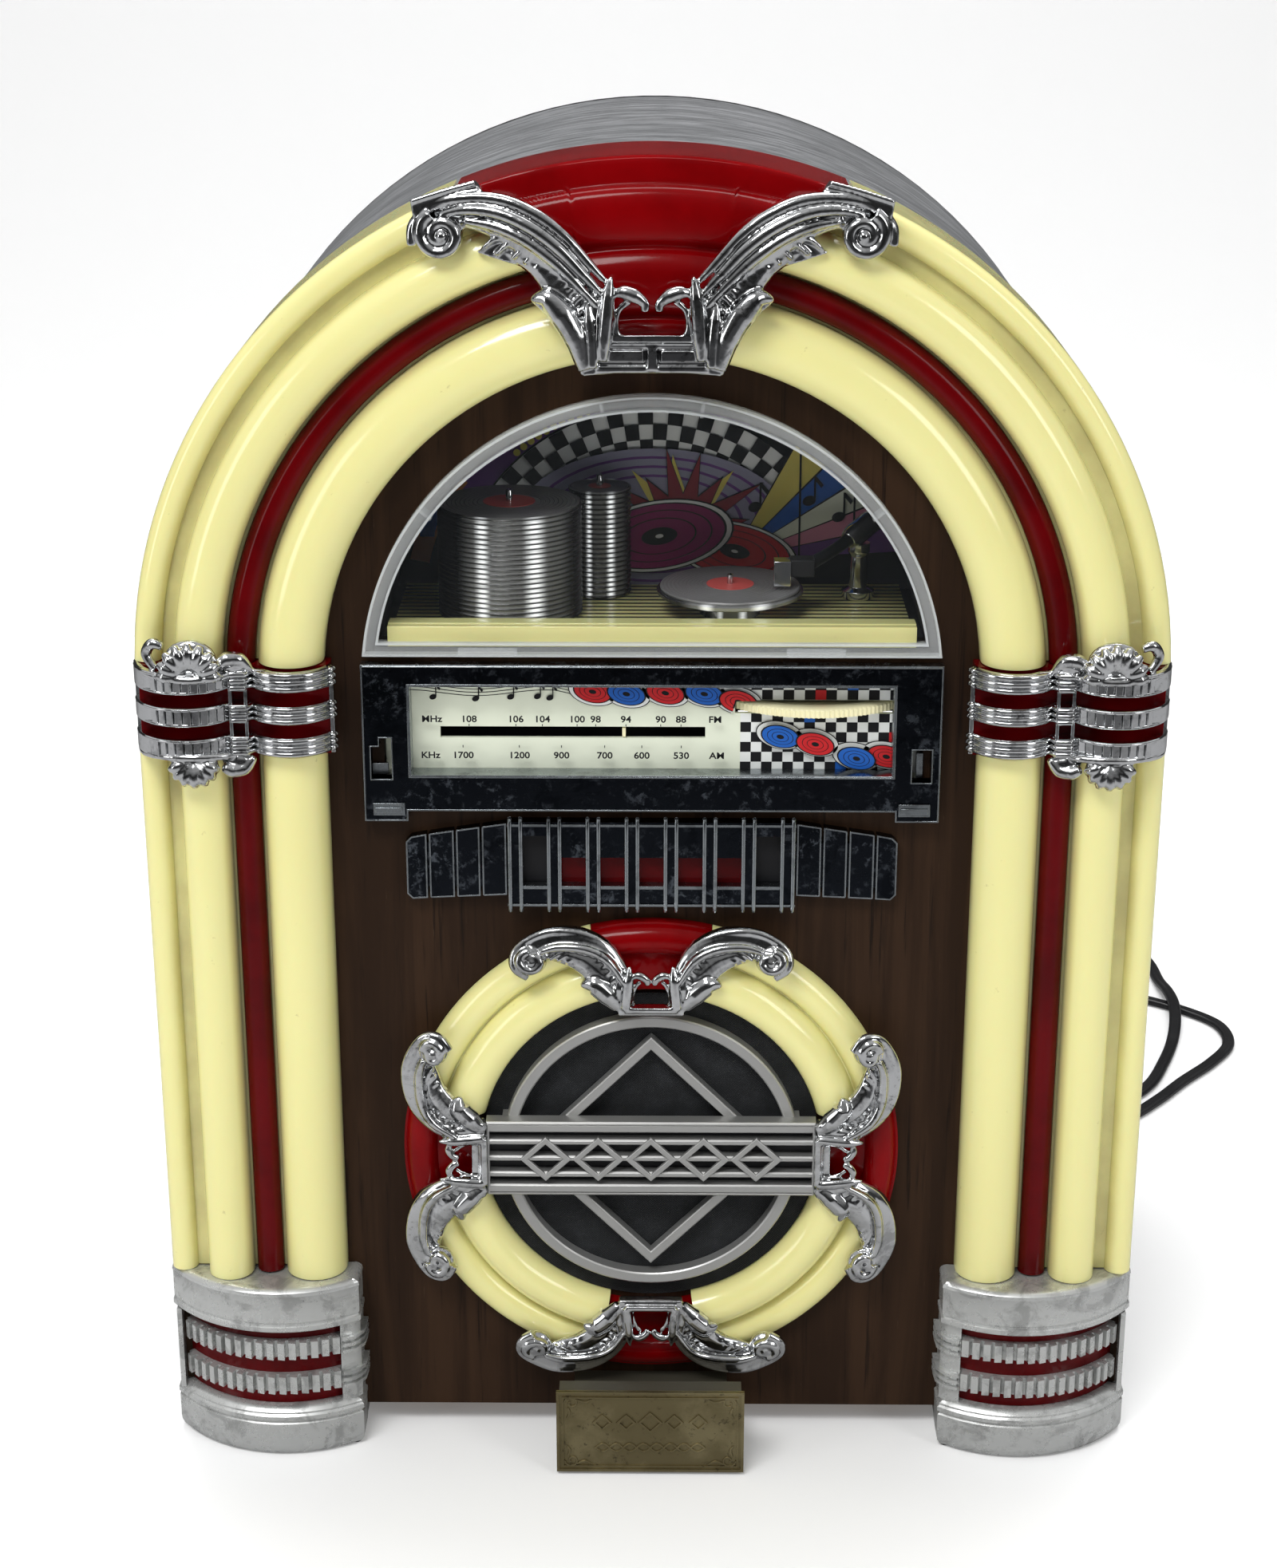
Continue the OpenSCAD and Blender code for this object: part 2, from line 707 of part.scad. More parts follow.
// Pressed basket with its magnet
module speaker_basket() color("gray") translate([0, 0, speaker_z]) rotate([90, 0, 0]) {
    translate([0, 0, board_back - 2]) difference() {
        cylinder(r = 51, h = 2);
        translate([0, 0, -1]) cylinder(r = 44, h = 4);
    }
    difference() {
        translate([0, 0, 38]) cylinder(r1 = 24, r2 = 46, h = board_back - 40);
        translate([0, 0, 40]) cylinder(r1 = 22, r2 = 44.1, h = board_back - 41);
    }
    translate([0, 0, 18]) cylinder(r = 27, h = 20);
}

module speaker_cone() color("dimgray") translate([0, 0, speaker_z]) rotate([90, 0, 0]) {
    difference() {
        translate([0, 0, 44]) cylinder(r1 = 11, r2 = 40, h = 20);
        translate([0, 0, 45.2]) cylinder(r1 = 11, r2 = 40, h = 20);
    }
    translate([0, 0, 40.5]) cylinder(r = 12, h = 4.5);
}

// ---------- plaque ----------

// Block behind the plate, on an arm that passes below the speaker's ornament to the board
module plaque_block() color("dimgray") {
    back = plaque_h - plaque_plate_t - plaque_block_t;
    low = plaque_z[0] + 0.5;
    block([1 - plaque_x, plaque_plate_t - plaque_h, low], [plaque_x - 1, -back, plaque_z[1] - 0.5]);
    block([5 - plaque_x, -back, low], [plaque_x - 5, -board_h, plaque_arm_z]);
}

module plaque_plate() color("darkkhaki")
    block([-plaque_x, -plaque_h, plaque_z[0]], [plaque_x, -plaque_h + plaque_plate_t, plaque_z[1]]);

// ---------- left side controls ----------

module control_panel() color("black") difference() {
    block([-case_r - panel_t, panel_y[0], panel_z[0]], [-case_r, panel_y[1], panel_z[1]]);
    for (y = wheel_y)
        block([-case_r - 5, y - wheel_slot_y, wheel_z - 11], [0, y + wheel_slot_y, wheel_z + 11]);
    for (z = switch_zs)
        block([-case_r - 5, switch_y - 2, z - 1.5], [0, switch_y + switch_travel + 2, z + 1.5]);
}

// Upright plate with ears that hold the thumb wheels' axles and the two slide switches
module control_bracket() color("lightgray") difference() {
    union() {
        block([bracket_x, panel_y[0] + 6, panel_z[0]], [bracket_x + 2, panel_y[1] - 6, panel_z[1]]);
        for (y = wheel_y, s = [-1, 1])
            block([-138, y + s * ear_y - 1, wheel_z - 5], [bracket_x, y + s * ear_y + 1, wheel_z + 5]);
        for (z = switch_zs)
            block([-134, switch_y - 4, z - 4], [bracket_x, switch_y + switch_travel + 4, z + 4]);
        for (z = [panel_z[0], panel_z[1] - 2]) block([-wall_in, -14, z], [bracket_x, 74, z + 2]);
    }
    for (y = wheel_y, s = [-1, 1]) translate([wheel_x, y + s * ear_y - 2, wheel_z]) rotate([-90, 0, 0])
        cylinder(r = 1.5 + bore_gap, h = 4);
}

module thumb_wheel(y) color("black") translate([wheel_x, y, wheel_z]) rotate([-90, 0, 0]) {
    translate([0, 0, -wheel_t / 2]) cylinder(r = wheel_r, h = wheel_t);
    translate([0, 0, -6.5]) cylinder(r = 1.5, h = 13);
}

module volume_wheel() thumb_wheel(wheel_y[0]);
module tone_wheel() thumb_wheel(wheel_y[1]);

module slide_knob(z) color("silver") {
    block([-trim_x, switch_y - 4, z - 3], [-case_r - panel_t - gap, switch_y + 4, z + 3]);
    block([-case_r - panel_t - gap, switch_y - 1.5, z - 1.1], [-134 - gap, switch_y + 1.5, z + 1.1]);
}

module band_switch() slide_knob(switch_zs[0]);
module function_switch() slide_knob(switch_zs[1]);

// ---------- right side cassette deck ----------

module deck_frame() color("black") difference() {
    union() {
        across_deck(case_r, case_r + deck_flange, -4, -4);
        across_deck(deck_in, case_r, gap, gap);
    }
    block([deck_in - 2, deck_y - door_w - door_gap, door_z],
        [case_r + 5, deck_y + door_w + door_gap, door_z + door_h + 2 * door_gap]);
    for (k = [-1:1]) block([deck_in - 2, deck_y + k * key_step - key_w / 2, key_z - key_hgt / 2],
        [case_r + 5, deck_y + k * key_step + key_w / 2, key_z + key_hgt / 2]);
    for (s = [-1, 1]) translate([door_hinge[0], deck_y + s * (door_w + 1) - 1.6, door_hinge[1]])
        rotate([-90, 0, 0]) cylinder(r = door_pin_r + bore_gap, h = 3.2);
}

// Box from x0 to x1 that fills the hole of the deck, less an inset along y and along z
module across_deck(x0, x1, inset_y, inset_z)
    block([x0, deck_hole_y[0] + inset_y, deck_hole_z[0] + inset_z],
        [x1, deck_hole_y[1] - inset_y, deck_hole_z[1] - inset_z]);

// Motor, spindles and head behind the door
module deck_mechanism() color("darkgray") {
    across_deck(84, motor_x, gap, 4);
    difference() {
        across_deck(motor_x, deck_in, gap, gap);
        across_deck(motor_x - 1, deck_in + 1, 3, -1);
    }
    for (s = [-1, 1]) translate([motor_x, deck_y + spindle_y * s, door_z + 40])
        rotate([0, 90, 0]) cylinder(r = 3, h = 14);
    translate([motor_x, deck_y - 4, door_z + 62]) cube([14, 12, 10]);
}

// Door with a pocket for the cassette; its lower edge is round about the hinge line
module cassette_door() color("black") {
    y0 = deck_y - door_w;
    y1 = deck_y + door_w;
    face = case_r + 1.3;
    block([face - 3.3, y0, door_hinge[1]], [face, y1, door_z + door_h + door_gap]);
    translate([door_hinge[0], y0, door_hinge[1]]) rotate([-90, 0, 0]) cylinder(r = 1.8, h = y1 - y0);
    translate([door_hinge[0], y0 - 1.5, door_hinge[1]]) rotate([-90, 0, 0])
        cylinder(r = door_pin_r, h = y1 - y0 + 3);
    block([face - 19, y0 + 2, door_z + 2.2], [face - 3.3, y1 - 2, door_z + 4.2]);
    for (y = [y0 + 2, y1 - 4]) block([face - 19, y, door_z + 4.2], [face - 3.3, y + 2, door_z + 40]);
}

module deck_key(k) color("silver") {
    y = deck_y + k * key_step;
    half = [key_w / 2 - key_gap, key_hgt / 2 - key_gap];
    block([case_r - 8, y - half[0], key_z - half[1]], [trim_x - 0.2, y + half[0], key_z + half[1]]);
    block([118, y - 4, key_z - 2], [case_r - 8, y + 4, key_z + 2]);
}

module key_stop() deck_key(-1);
module key_forward() deck_key(0);
module key_play() deck_key(1);

// ---------- inside ----------

module main_board() color("darkgreen") {
    block([-110, -20, 30], [30, 80, 31.6]);
    for (x = [-104, 24], y = [-14, 74]) translate([x, y, case_z + base_t]) cylinder(r = 3, h = 14);
    for (k = [0:4]) translate([-90 + 22 * k, 60, 31.6]) cylinder(r = 5, h = 14);
    block([-60, 5, 31.6], [-30, 15, 45]);
    block([-10, 0, 31.6], [15, 12, 36]);
}

module transformer() color("goldenrod") {
    block([60, 10, case_z + base_t], [110, 52, case_z + base_t + 3]);
    block([64, 14, case_z + base_t + 3], [106, 48, 58]);
    block([70, 4, 26], [100, 14, 52]);
    block([70, 48, 26], [100, 58, 52]);
}

module ferrite_antenna() color("dimgray") {
    translate([-60, 40, 222]) rotate([0, 90, 0]) cylinder(r = 5, h = 110);
    for (x = [-40, 20]) translate([x, 40, 222]) rotate([0, 90, 0]) cylinder(r = 6.5, h = 18);
    for (x = [-56, 44]) block([x, 38, 214], [x + 4, 42, 218]);
    block([-62, 36, 210], [56, 44, 214]);
    for (x = [-62, 48]) block([x, -board_back, 210], [x + 8, 36, 214]);
}

// ---------- mains lead ----------

module strain_relief() color("black") translate([cord_exit[0], 0, cord_exit[1]]) rotate([-90, 0, 0]) {
    translate([0, 0, case_back - 3]) cylinder(r = relief_r, h = cover_t + 3);
    translate([0, 0, case_back - 5]) cylinder(r = 6, h = 2);
    translate([0, 0, case_back + cover_t]) cylinder(r1 = 6.5, r2 = 3.6, h = relief_len);
}

// Point at t on the smooth curve through the points p, one unit of t between points
function curve(p, t) = let(
    i = min(floor(t), len(p) - 2), u = t - i,
    a = p[max(i - 1, 0)], b = p[i], c = p[i + 1], d = p[min(i + 2, len(p) - 1)]
) 0.5 * (2 * b + (c - a) * u + (2 * a - 5 * b + 4 * c - d) * u * u + (3 * b - a - 3 * c + d) * u * u * u);

// Tube with a flat oval section along the curve through the points p, with n rings
module flat_tube(p, n) {
    sides = 8;
    rings = [for (k = [0:n - 1]) curve(p, k * (len(p) - 1) / (n - 1))];
    points = [for (k = [0:n - 1]) let(
        d = rings[min(k + 1, n - 1)] - rings[max(k - 1, 0)],
        t = d / norm(d),
        flat = [t[1], -t[0], 0],
        across = norm(flat) > 0.2 ? flat / norm(flat) : [1, 0, 0],
        up = cross(across, t)
    ) each [for (j = [0:sides - 1]) let(a = 360 * (j + 0.5) / sides)
        rings[k] + across * cord_w / 2 * cos(a) + up * cord_t / 2 * sin(a)]];
    faces = [
        [for (j = [0:sides - 1]) j],
        for (k = [0:n - 2], j = [0:sides - 1]) let(
            a = k * sides + j, b = k * sides + (j + 1) % sides
        ) each [[a, a + sides, b + sides], [a, b + sides, b]],
        [for (j = [sides - 1:-1:0]) (n - 1) * sides + j]
    ];
    polyhedron(points, faces);
}

module cord_lead() color("black") {
    flat_tube(cord_route, 72);
    flat_tube(cord_tail, 5);
}

// Outer shape of the coiled part of the lead
module cord_coil() color("black") translate([coil_c[0], coil_c[1], 0]) rotate_extrude()
    translate([coil_mid_r - coil_w / 2, 0]) square([coil_w, coil_t]);

module plug() color("black") translate([plug_at[0], plug_at[1], 0]) rotate([0, 0, 12]) {
    translate([0, 0, 5.5]) rotate([90, 0, 0]) cylinder(r1 = 3.2, r2 = 5, h = 10);
    block([-10, -32, 0], [10, -10, 11]);
    for (s = [-1, 1]) block([s * 6.35 - 0.75, -49, 2.5], [s * 6.35 + 0.75, -32, 8.5]);
}

cabinet_shell();
front_board();
base_board();
rear_cover();
rear_cover_screws();
rear_feet();
pilasters();
arch_mouldings();
red_strips();
crown_crest();
crown_lamps();
crown_ornament();
band_left();
band_right();
foot_left();
foot_right();
trim_lenses();
window_cover();
display_box();
display_backdrop();
display_ledge();
record_stacks();
turntable();
tonearm();
dial_bezel();
dial_plate();
dial_bracket();
dial_pointer();
tuning_wheel();
tuning_capacitor();
selector_trim();
selector_lens();
speaker_ring();
speaker_crests();
speaker_ornaments();
speaker_badge();
grille_cloth();
speaker_basket();
speaker_cone();
plaque_block();
plaque_plate();
control_panel();
control_bracket();
volume_wheel();
tone_wheel();
band_switch();
function_switch();
deck_frame();
deck_mechanism();
cassette_door();
key_stop();
key_forward();
key_play();
main_board();
transformer();
ferrite_antenna();
strain_relief();
cord_lead();
cord_coil();
plug();
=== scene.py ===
import math

import bmesh
import bpy
import mathutils
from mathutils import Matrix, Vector


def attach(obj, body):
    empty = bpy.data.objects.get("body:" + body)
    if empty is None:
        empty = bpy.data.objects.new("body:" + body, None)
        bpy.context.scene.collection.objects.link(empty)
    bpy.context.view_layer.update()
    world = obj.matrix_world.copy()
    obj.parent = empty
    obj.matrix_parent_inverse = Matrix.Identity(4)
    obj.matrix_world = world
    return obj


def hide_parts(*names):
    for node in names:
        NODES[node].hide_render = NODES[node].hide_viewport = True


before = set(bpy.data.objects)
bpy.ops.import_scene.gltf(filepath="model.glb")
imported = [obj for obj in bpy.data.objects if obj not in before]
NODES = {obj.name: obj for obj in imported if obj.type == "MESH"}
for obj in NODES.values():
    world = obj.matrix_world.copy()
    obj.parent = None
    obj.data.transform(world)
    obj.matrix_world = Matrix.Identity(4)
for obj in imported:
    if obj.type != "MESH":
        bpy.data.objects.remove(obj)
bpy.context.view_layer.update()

# The looks of a tabletop jukebox radio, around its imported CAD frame.
# Front is -Y and up is +Z. Shapes are written in millimetres, as x, y, z or as x, h, z,
# where h is the depth in front of the middle, which is -y.
MM = 0.001
SPRING_Z = 250.0
SPEAKER_Z = 100.0
CASE_R = 149.0
DISC_R = 78.0
BURST_X, BURST_Z = 9, 279
WHEEL_X, WHEEL_H = 47.6, 45.4
CONTROL_X, CONTROL_Z = -132.8, 175


# ---------- camera ----------

def make_camera():
    """Camera 0.49 m up, 0.83 m in front of the middle, pitched down by 19.7 degrees."""
    data = bpy.data.cameras.new("camera")
    data.sensor_width = 36.0
    data.lens = 62.9
    camera = bpy.data.objects.new("camera", data)
    camera.location = (0.00302, -0.8294, 0.4885)
    camera.rotation_euler = (math.radians(70.28), 0.0, 0.0091)
    bpy.context.collection.objects.link(camera)
    bpy.context.scene.camera = camera


make_camera()


# ---------- mesh tools ----------

def smoothstep(a, b, x):
    t = min(max((x - a) / (b - a), 0.0), 1.0)
    return t * t * (3 - 2 * t)


def spline(points, t):
    """Point at t, from 0 to 1, on the smooth curve through the points."""
    n = len(points) - 1
    s = min(max(t, 0.0), 1.0) * n
    i = min(int(s), n - 1)
    u = s - i
    a, b, c, d = (Vector(points[min(max(k, 0), n)]) for k in (i - 1, i, i + 1, i + 2))
    return 0.5 * (2 * b + (c - a) * u + (2 * a - 5 * b + 4 * c - d) * u * u
                  + (3 * b - a - 3 * c + d) * u ** 3)


def blend_list(values, t):
    """Value at t, from 0 to 1, along a list, in straight steps."""
    s = min(max(t, 0.0), 1.0) * (len(values) - 1)
    i = min(int(s), len(values) - 2)
    return values[i] + (values[i + 1] - values[i]) * (s - i)


def turn_of(degrees):
    """Cosine and sine of an angle."""
    return math.cos(math.radians(degrees)), math.sin(math.radians(degrees))


def full_turn(n):
    """The angles of n equal steps round a circle."""
    return [2 * math.pi * k / n for k in range(n)]


def skin(rows, around, closed=False):
    """Faces between rows of points, and from the last row back to the first where closed."""
    return [[k * around + j, k * around + (j + 1) % around,
             (k + 1) % rows * around + (j + 1) % around, (k + 1) % rows * around + j]
            for k in range(rows if closed else rows - 1) for j in range(around)]


class Shape:
    """Collects closed bodies, in millimetres as x, h, z, into one mesh."""

    def __init__(self):
        self.verts, self.faces, self.slots = [], [], []

    def add(self, verts, faces, slot=0):
        start = len(self.verts)
        self.verts += [tuple(v) for v in verts]
        self.faces += [[start + i for i in face] for face in faces]
        self.slots += [slot] * len(faces)

    def rings(self, rings, slot=0):
        """Capped skin over a list of closed rings with the same number of points."""
        n = len(rings[0])
        faces = skin(len(rings), n) + [list(range(n))[::-1], [(len(rings) - 1) * n + j for j in range(n)]]
        self.add([p for ring in rings for p in ring], faces, slot)

    def box(self, low, high, slot=0):
        (x0, h0, z0), (x1, h1, z1) = low, high
        self.rings([[(x0, h0, z), (x1, h0, z), (x1, h1, z), (x0, h1, z)] for z in (z0, z1)], slot)

    def plate(self, outline, h0, h1, slot=0):
        """Outline in x and z, raised from h0 to h1."""
        self.rings([[(x, h, z) for x, z in outline] for h in (h0, h1)], slot)

    def upright(self, outline, z0, z1):
        """Outline in x and h, raised from z0 to z1."""
        self.rings([[(x, h, z) for x, h in outline] for z in (z0, z1)])

    def tube(self, path, radii, steps=24, sides=10, flat=1.0, slot=0):
        """Round bar along a smooth path, its radius following a list, squashed by flat across the depth."""
        rings = []
        for k in range(steps + 1):
            t = k / steps
            here = spline(path, t)
            along = (spline(path, t + 0.01) - spline(path, t - 0.01)).normalized()
            side = along.cross(Vector((0, 1, 0)))
            side = side.normalized() if side.length > 1e-4 else Vector((1, 0, 0))
            out = side.cross(along)
            r = blend_list(radii, t)
            rings.append([here + (side * math.cos(a) + out * (math.sin(a) * flat)) * r
                          for a in full_turn(sides)])
        self.rings(rings, slot)

    def ball(self, centre, radii, rings=10, sides=16):
        cx, ch, cz = centre
        rx, rh, rz = radii if isinstance(radii, tuple) else (radii,) * 3
        loops = []
        for k in range(rings + 1):
            a = math.pi * (0.02 + 0.96 * k / rings)
            loops.append([(cx + rx * math.sin(a) * math.cos(b), ch + rh * math.sin(a) * math.sin(b),
                           cz + rz * math.cos(a)) for b in full_turn(sides)])
        self.rings(loops)

    def lathe(self, profile, centre, axis="z", sides=64, slot=0):
        """Turns a profile of (radius, height) about an axis through centre."""
        cx, ch, cz = centre
        put = {"z": lambda r, t, a: (cx + r * math.cos(a), ch + r * math.sin(a), cz + t),
               "h": lambda r, t, a: (cx + r * math.cos(a), ch + t, cz + r * math.sin(a)),
               "x": lambda r, t, a: (cx + t, ch + r * math.cos(a), cz + r * math.sin(a))}[axis]
        self.add([put(r, t, a) for a in full_turn(sides) for r, t in profile],
                 skin(sides, len(profile), closed=True), slot)

    def mirrored(self):
        """Adds the mirror image in x of everything so far."""
        n = len(self.verts)
        self.verts += [(-x, h, z) for x, h, z in self.verts]
        self.faces += [[n + i for i in face][::-1] for face in self.faces]
        self.slots += self.slots
        return self

    def moved(self, change):
        self.verts = [change(*v) for v in self.verts]
        return self

    def joined(self, other):
        self.add(other.verts, other.faces)
        self.slots[-len(other.faces):] = other.slots
        return self

    def piece(self, name, body, materials, slot, replaces=(), bevel=0.0, voxel=0.0, smooth=True, subdivide=0):
        """Makes the Blender object, gives it its finish and ties it to its body."""
        mesh = bpy.data.meshes.new(name)
        mesh.from_pydata([(x * MM, -h * MM, z * MM) for x, h, z in self.verts], [], self.faces)
        for face, index in zip(mesh.polygons, self.slots):
            face.material_index = index
        work = bmesh.new()
        work.from_mesh(mesh)
        bmesh.ops.recalc_face_normals(work, faces=work.faces)
        work.to_mesh(mesh)
        work.free()
        made = bpy.data.objects.new(name, mesh)
        bpy.context.collection.objects.link(made)
        for material in materials if isinstance(materials, (list, tuple)) else [materials]:
            mesh.materials.append(material)
        if voxel:
            remesh = made.modifiers.new("cast", "REMESH")
            remesh.mode = "VOXEL"
            remesh.voxel_size = voxel * MM
            remesh.use_smooth_shade = True
            relaxing = made.modifiers.new("relax", "SMOOTH")
            relaxing.iterations = 2
            relaxing.factor = 0.5
        if subdivide:
            made.modifiers.new("subdivide", "SUBSURF").levels = subdivide
            made.modifiers["subdivide"].render_levels = subdivide
        if bevel:
            edge = made.modifiers.new("edge", "BEVEL")
            edge.width = bevel * MM
            edge.segments = 3
            edge.limit_method = "ANGLE"
            edge.angle_limit = math.radians(35)
            edge.harden_normals = False
        if smooth:
            mesh.polygons.foreach_set("use_smooth", [True] * len(mesh.polygons))
            if not voxel:
                mesh.set_sharp_from_angle(angle=math.radians(38))
        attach(made, body)
        if replaces:
            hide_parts(*replaces)
        return made


# ---------- materials ----------

class Finish:
    """One procedural material: a Principled shader with colour, roughness and bump from noise."""

    def __init__(self, name, color, rough=0.5, metal=0.0, coat=0.0, **sockets):
        self.material = bpy.data.materials.new(name)
        self.material.use_nodes = True
        self.tree = self.material.node_tree
        self.shader = self.tree.nodes["Principled BSDF"]
        self.color = (*color, 1.0)
        self.rough = rough
        self.shader.inputs["Base Color"].default_value = self.color
        self.shader.inputs["Roughness"].default_value = rough
        self.shader.inputs["Metallic"].default_value = metal
        self.shader.inputs["Coat Weight"].default_value = coat
        self.shader.inputs["Coat Roughness"].default_value = 0.08
        for socket, value in sockets.items():
            self.shader.inputs[socket.replace("_", " ")].default_value = value
        self.place = self.tree.nodes.new("ShaderNodeTexCoord").outputs["Object"]

    def link(self, a, b):
        self.tree.links.new(a, b)

    def node(self, kind, **settings):
        made = self.tree.nodes.new("ShaderNode" + kind)
        for key, value in settings.items():
            setattr(made, key, value)
        return made

    def stretched(self, scale):
        """Coordinates in units of 1 / scale metres along each axis."""
        mapping = self.node("Mapping")
        mapping.inputs["Scale"].default_value = scale if isinstance(scale, tuple) else (scale,) * 3
        self.link(self.place, mapping.inputs["Vector"])
        return mapping.outputs["Vector"]

    def noise(self, scale, detail=4.0, roughness=0.55, distortion=0.0):
        made = self.node("TexNoise")
        made.inputs["Scale"].default_value = 1.0
        made.inputs["Detail"].default_value = detail
        made.inputs["Roughness"].default_value = roughness
        made.inputs["Distortion"].default_value = distortion
        self.link(self.stretched(scale), made.inputs["Vector"])
        return made.outputs["Fac"]

    def mask(self, value, low, high, out_low=0.0, out_high=1.0):
        made = self.node("MapRange", interpolation_type="SMOOTHSTEP")
        for socket, number in zip(("From Min", "From Max", "To Min", "To Max"),
                                  (low, high, out_low, out_high)):
            made.inputs[socket].default_value = number
        self.link(value, made.inputs["Value"])
        return made.outputs["Result"]

    def math(self, kind, a, b=None):
        made = self.node("Math", operation=kind)
        for socket, value in zip(made.inputs, (a, b)):
            if isinstance(value, (int, float)):
                socket.default_value = value
            elif value is not None:
                self.link(value, socket)
        return made.outputs[0]

    def tint(self, mask, color):
        """Mixes a colour in where the mask is high."""
        mix = self.node("Mix", data_type="RGBA")
        current = self.shader.inputs["Base Color"]
        if current.is_linked:
            self.link(current.links[0].from_socket, mix.inputs["A"])
        else:
            mix.inputs["A"].default_value = self.color
        mix.inputs["B"].default_value = (*color, 1.0)
        self.link(mask, mix.inputs["Factor"])
        self.link(mix.outputs["Result"], current)
        return self

    def rougher(self, mask, high):
        """Roughness goes from its plain value to high where the mask is high."""
        mix = self.node("Mix", data_type="FLOAT")
        current = self.shader.inputs["Roughness"]
        if current.is_linked:
            self.link(current.links[0].from_socket, mix.inputs["A"])
        else:
            mix.inputs["A"].default_value = self.rough
        mix.inputs["B"].default_value = high
        self.link(mask, mix.inputs["Factor"])
        self.link(mix.outputs["Result"], current)
        return self

    def bump(self, height, depth_mm, strength=1.0):
        made = self.node("Bump")
        made.inputs["Distance"].default_value = depth_mm * MM
        made.inputs["Strength"].default_value = strength
        self.link(height, made.inputs["Height"])
        current = self.shader.inputs["Normal"]
        if current.is_linked:
            self.link(current.links[0].from_socket, made.inputs["Normal"])
        self.link(made.outputs["Normal"], current)
        return self

    def axis(self, name):
        split = self.node("SeparateXYZ")
        self.link(self.place, split.inputs[0])
        return split.outputs[name]

    def radius(self, centre_z):
        """Distance from the y axis through (0, centre_z), in metres; plain |x| below that height."""
        above = self.math("MAXIMUM", self.math("SUBTRACT", self.axis("Z"), centre_z * MM), 0.0)
        squares = self.math("ADD", self.math("POWER", self.math("ABSOLUTE", self.axis("X")), 2.0),
                            self.math("POWER", above, 2.0))
        return self.math("SQRT", squares)


def worn(finish):
    """Fine surface grain, faint smudges and a little grime, common to all the hard parts."""
    finish.rougher(finish.mask(finish.noise(60.0, 5.0), 0.42, 0.72, 0.0, 0.5), min(finish.rough + 0.25, 1.0))
    finish.bump(finish.noise(900.0, 2.0), 0.02, 0.35)
    finish.tint(finish.mask(finish.noise(25.0, 6.0, 0.65), 0.62, 0.85, 0.0, 0.175), (0.05, 0.045, 0.04))
    return finish


def cream_plastic():
    f = Finish("cream_plastic", (0.79, 0.75, 0.335), 0.16, coat=0.5, Subsurface_Weight=0.12,
               Subsurface_Scale=0.004)
    f.tint(f.mask(f.noise(9.0, 3.0), 0.35, 0.75, 0.0, 0.35), (0.73, 0.67, 0.28))
    cove = f.radius(SPRING_Z)
    # Painted shade: a darker band across the crease between the outer tube and the flange, with a noisy edge.
    painted_crease_shade = f.math("MULTIPLY", f.mask(cove, 0.1355, 0.1385), f.mask(cove, 0.1445, 0.1405))
    f.tint(f.math("MULTIPLY", painted_crease_shade, f.mask(f.noise(40.0, 6.0), 0.3, 0.7, 0.25, 0.8)), (0.52, 0.46, 0.20))
    # Painted shade: the tube edges beside the recessed red strip, from radius 110.8 to 125.6 mm, are
    # darkened.
    groove = f.math("MULTIPLY", f.mask(cove, 0.1108, 0.1130), f.mask(cove, 0.1256, 0.1234))
    f.tint(f.math("MULTIPLY", groove, 0.45), (0.42, 0.34, 0.14))
    f.tint(f.mask(f.noise(260.0, 4.0, 0.7), 0.68, 0.76, 0.0, 0.35), (0.36, 0.30, 0.14))
    f.rougher(f.mask(f.noise(30.0, 6.0, 0.7), 0.45, 0.7, 0.0, 0.6), 0.34)
    return f.bump(f.noise(22.0, 3.0), 0.12, 0.25).bump(f.noise(700.0, 2.0), 0.01, 0.3).material


def red_plastic(name, color, deep):
    f = Finish(name, color, 0.14, coat=0.05, Subsurface_Weight=0.15, Subsurface_Scale=0.003,
               Specular_IOR_Level=0.14)
    f.tint(f.mask(f.noise(35.0, 4.0), 0.35, 0.7, 0.0, 0.7), deep)
    f.rougher(f.mask(f.noise(160.0, 6.0, 0.7), 0.5, 0.72, 0.0, 0.5), 0.3)
    return f.bump(f.noise(60.0, 3.0), 0.05, 0.3).material


def chrome(name, color, pits, rough=0.09, pit_amount=0.75, pit_scale=420.0, metal=1.0):
    """Bright plating with dark spots, a dull bloom and painted shade in its hollows."""
    f = Finish(name, color, rough, metal=metal)
    spots = f.mask(f.noise(pit_scale, 6.0, 0.72, 0.3), 0.52, 0.66, 0.0, pit_amount)
    zones = f.mask(f.noise(38.0, 4.0), 0.38, 0.66)
    f.tint(f.mask(f.noise(85.0, 7.0, 0.7, 0.8), 0.50, 0.62, 0.0, 0.55), tuple(0.42 * c for c in color))
    f.tint(f.math("MULTIPLY", spots, zones), pits)
    # Painted shade: darker in hollows and creases, found by the mesh's pointiness.
    painted_hollow_shade = f.mask(f.node("NewGeometry").outputs["Pointiness"], 0.43, 0.495, 0.88, 0.0)
    f.tint(painted_hollow_shade, (0.015, 0.015, 0.016))
    f.rougher(f.mask(f.noise(90.0, 6.0, 0.7), 0.42, 0.72, 0.0, 0.7), rough + 0.22)
    return f.bump(f.noise(300.0, 5.0, 0.6), 0.03, 0.4).material


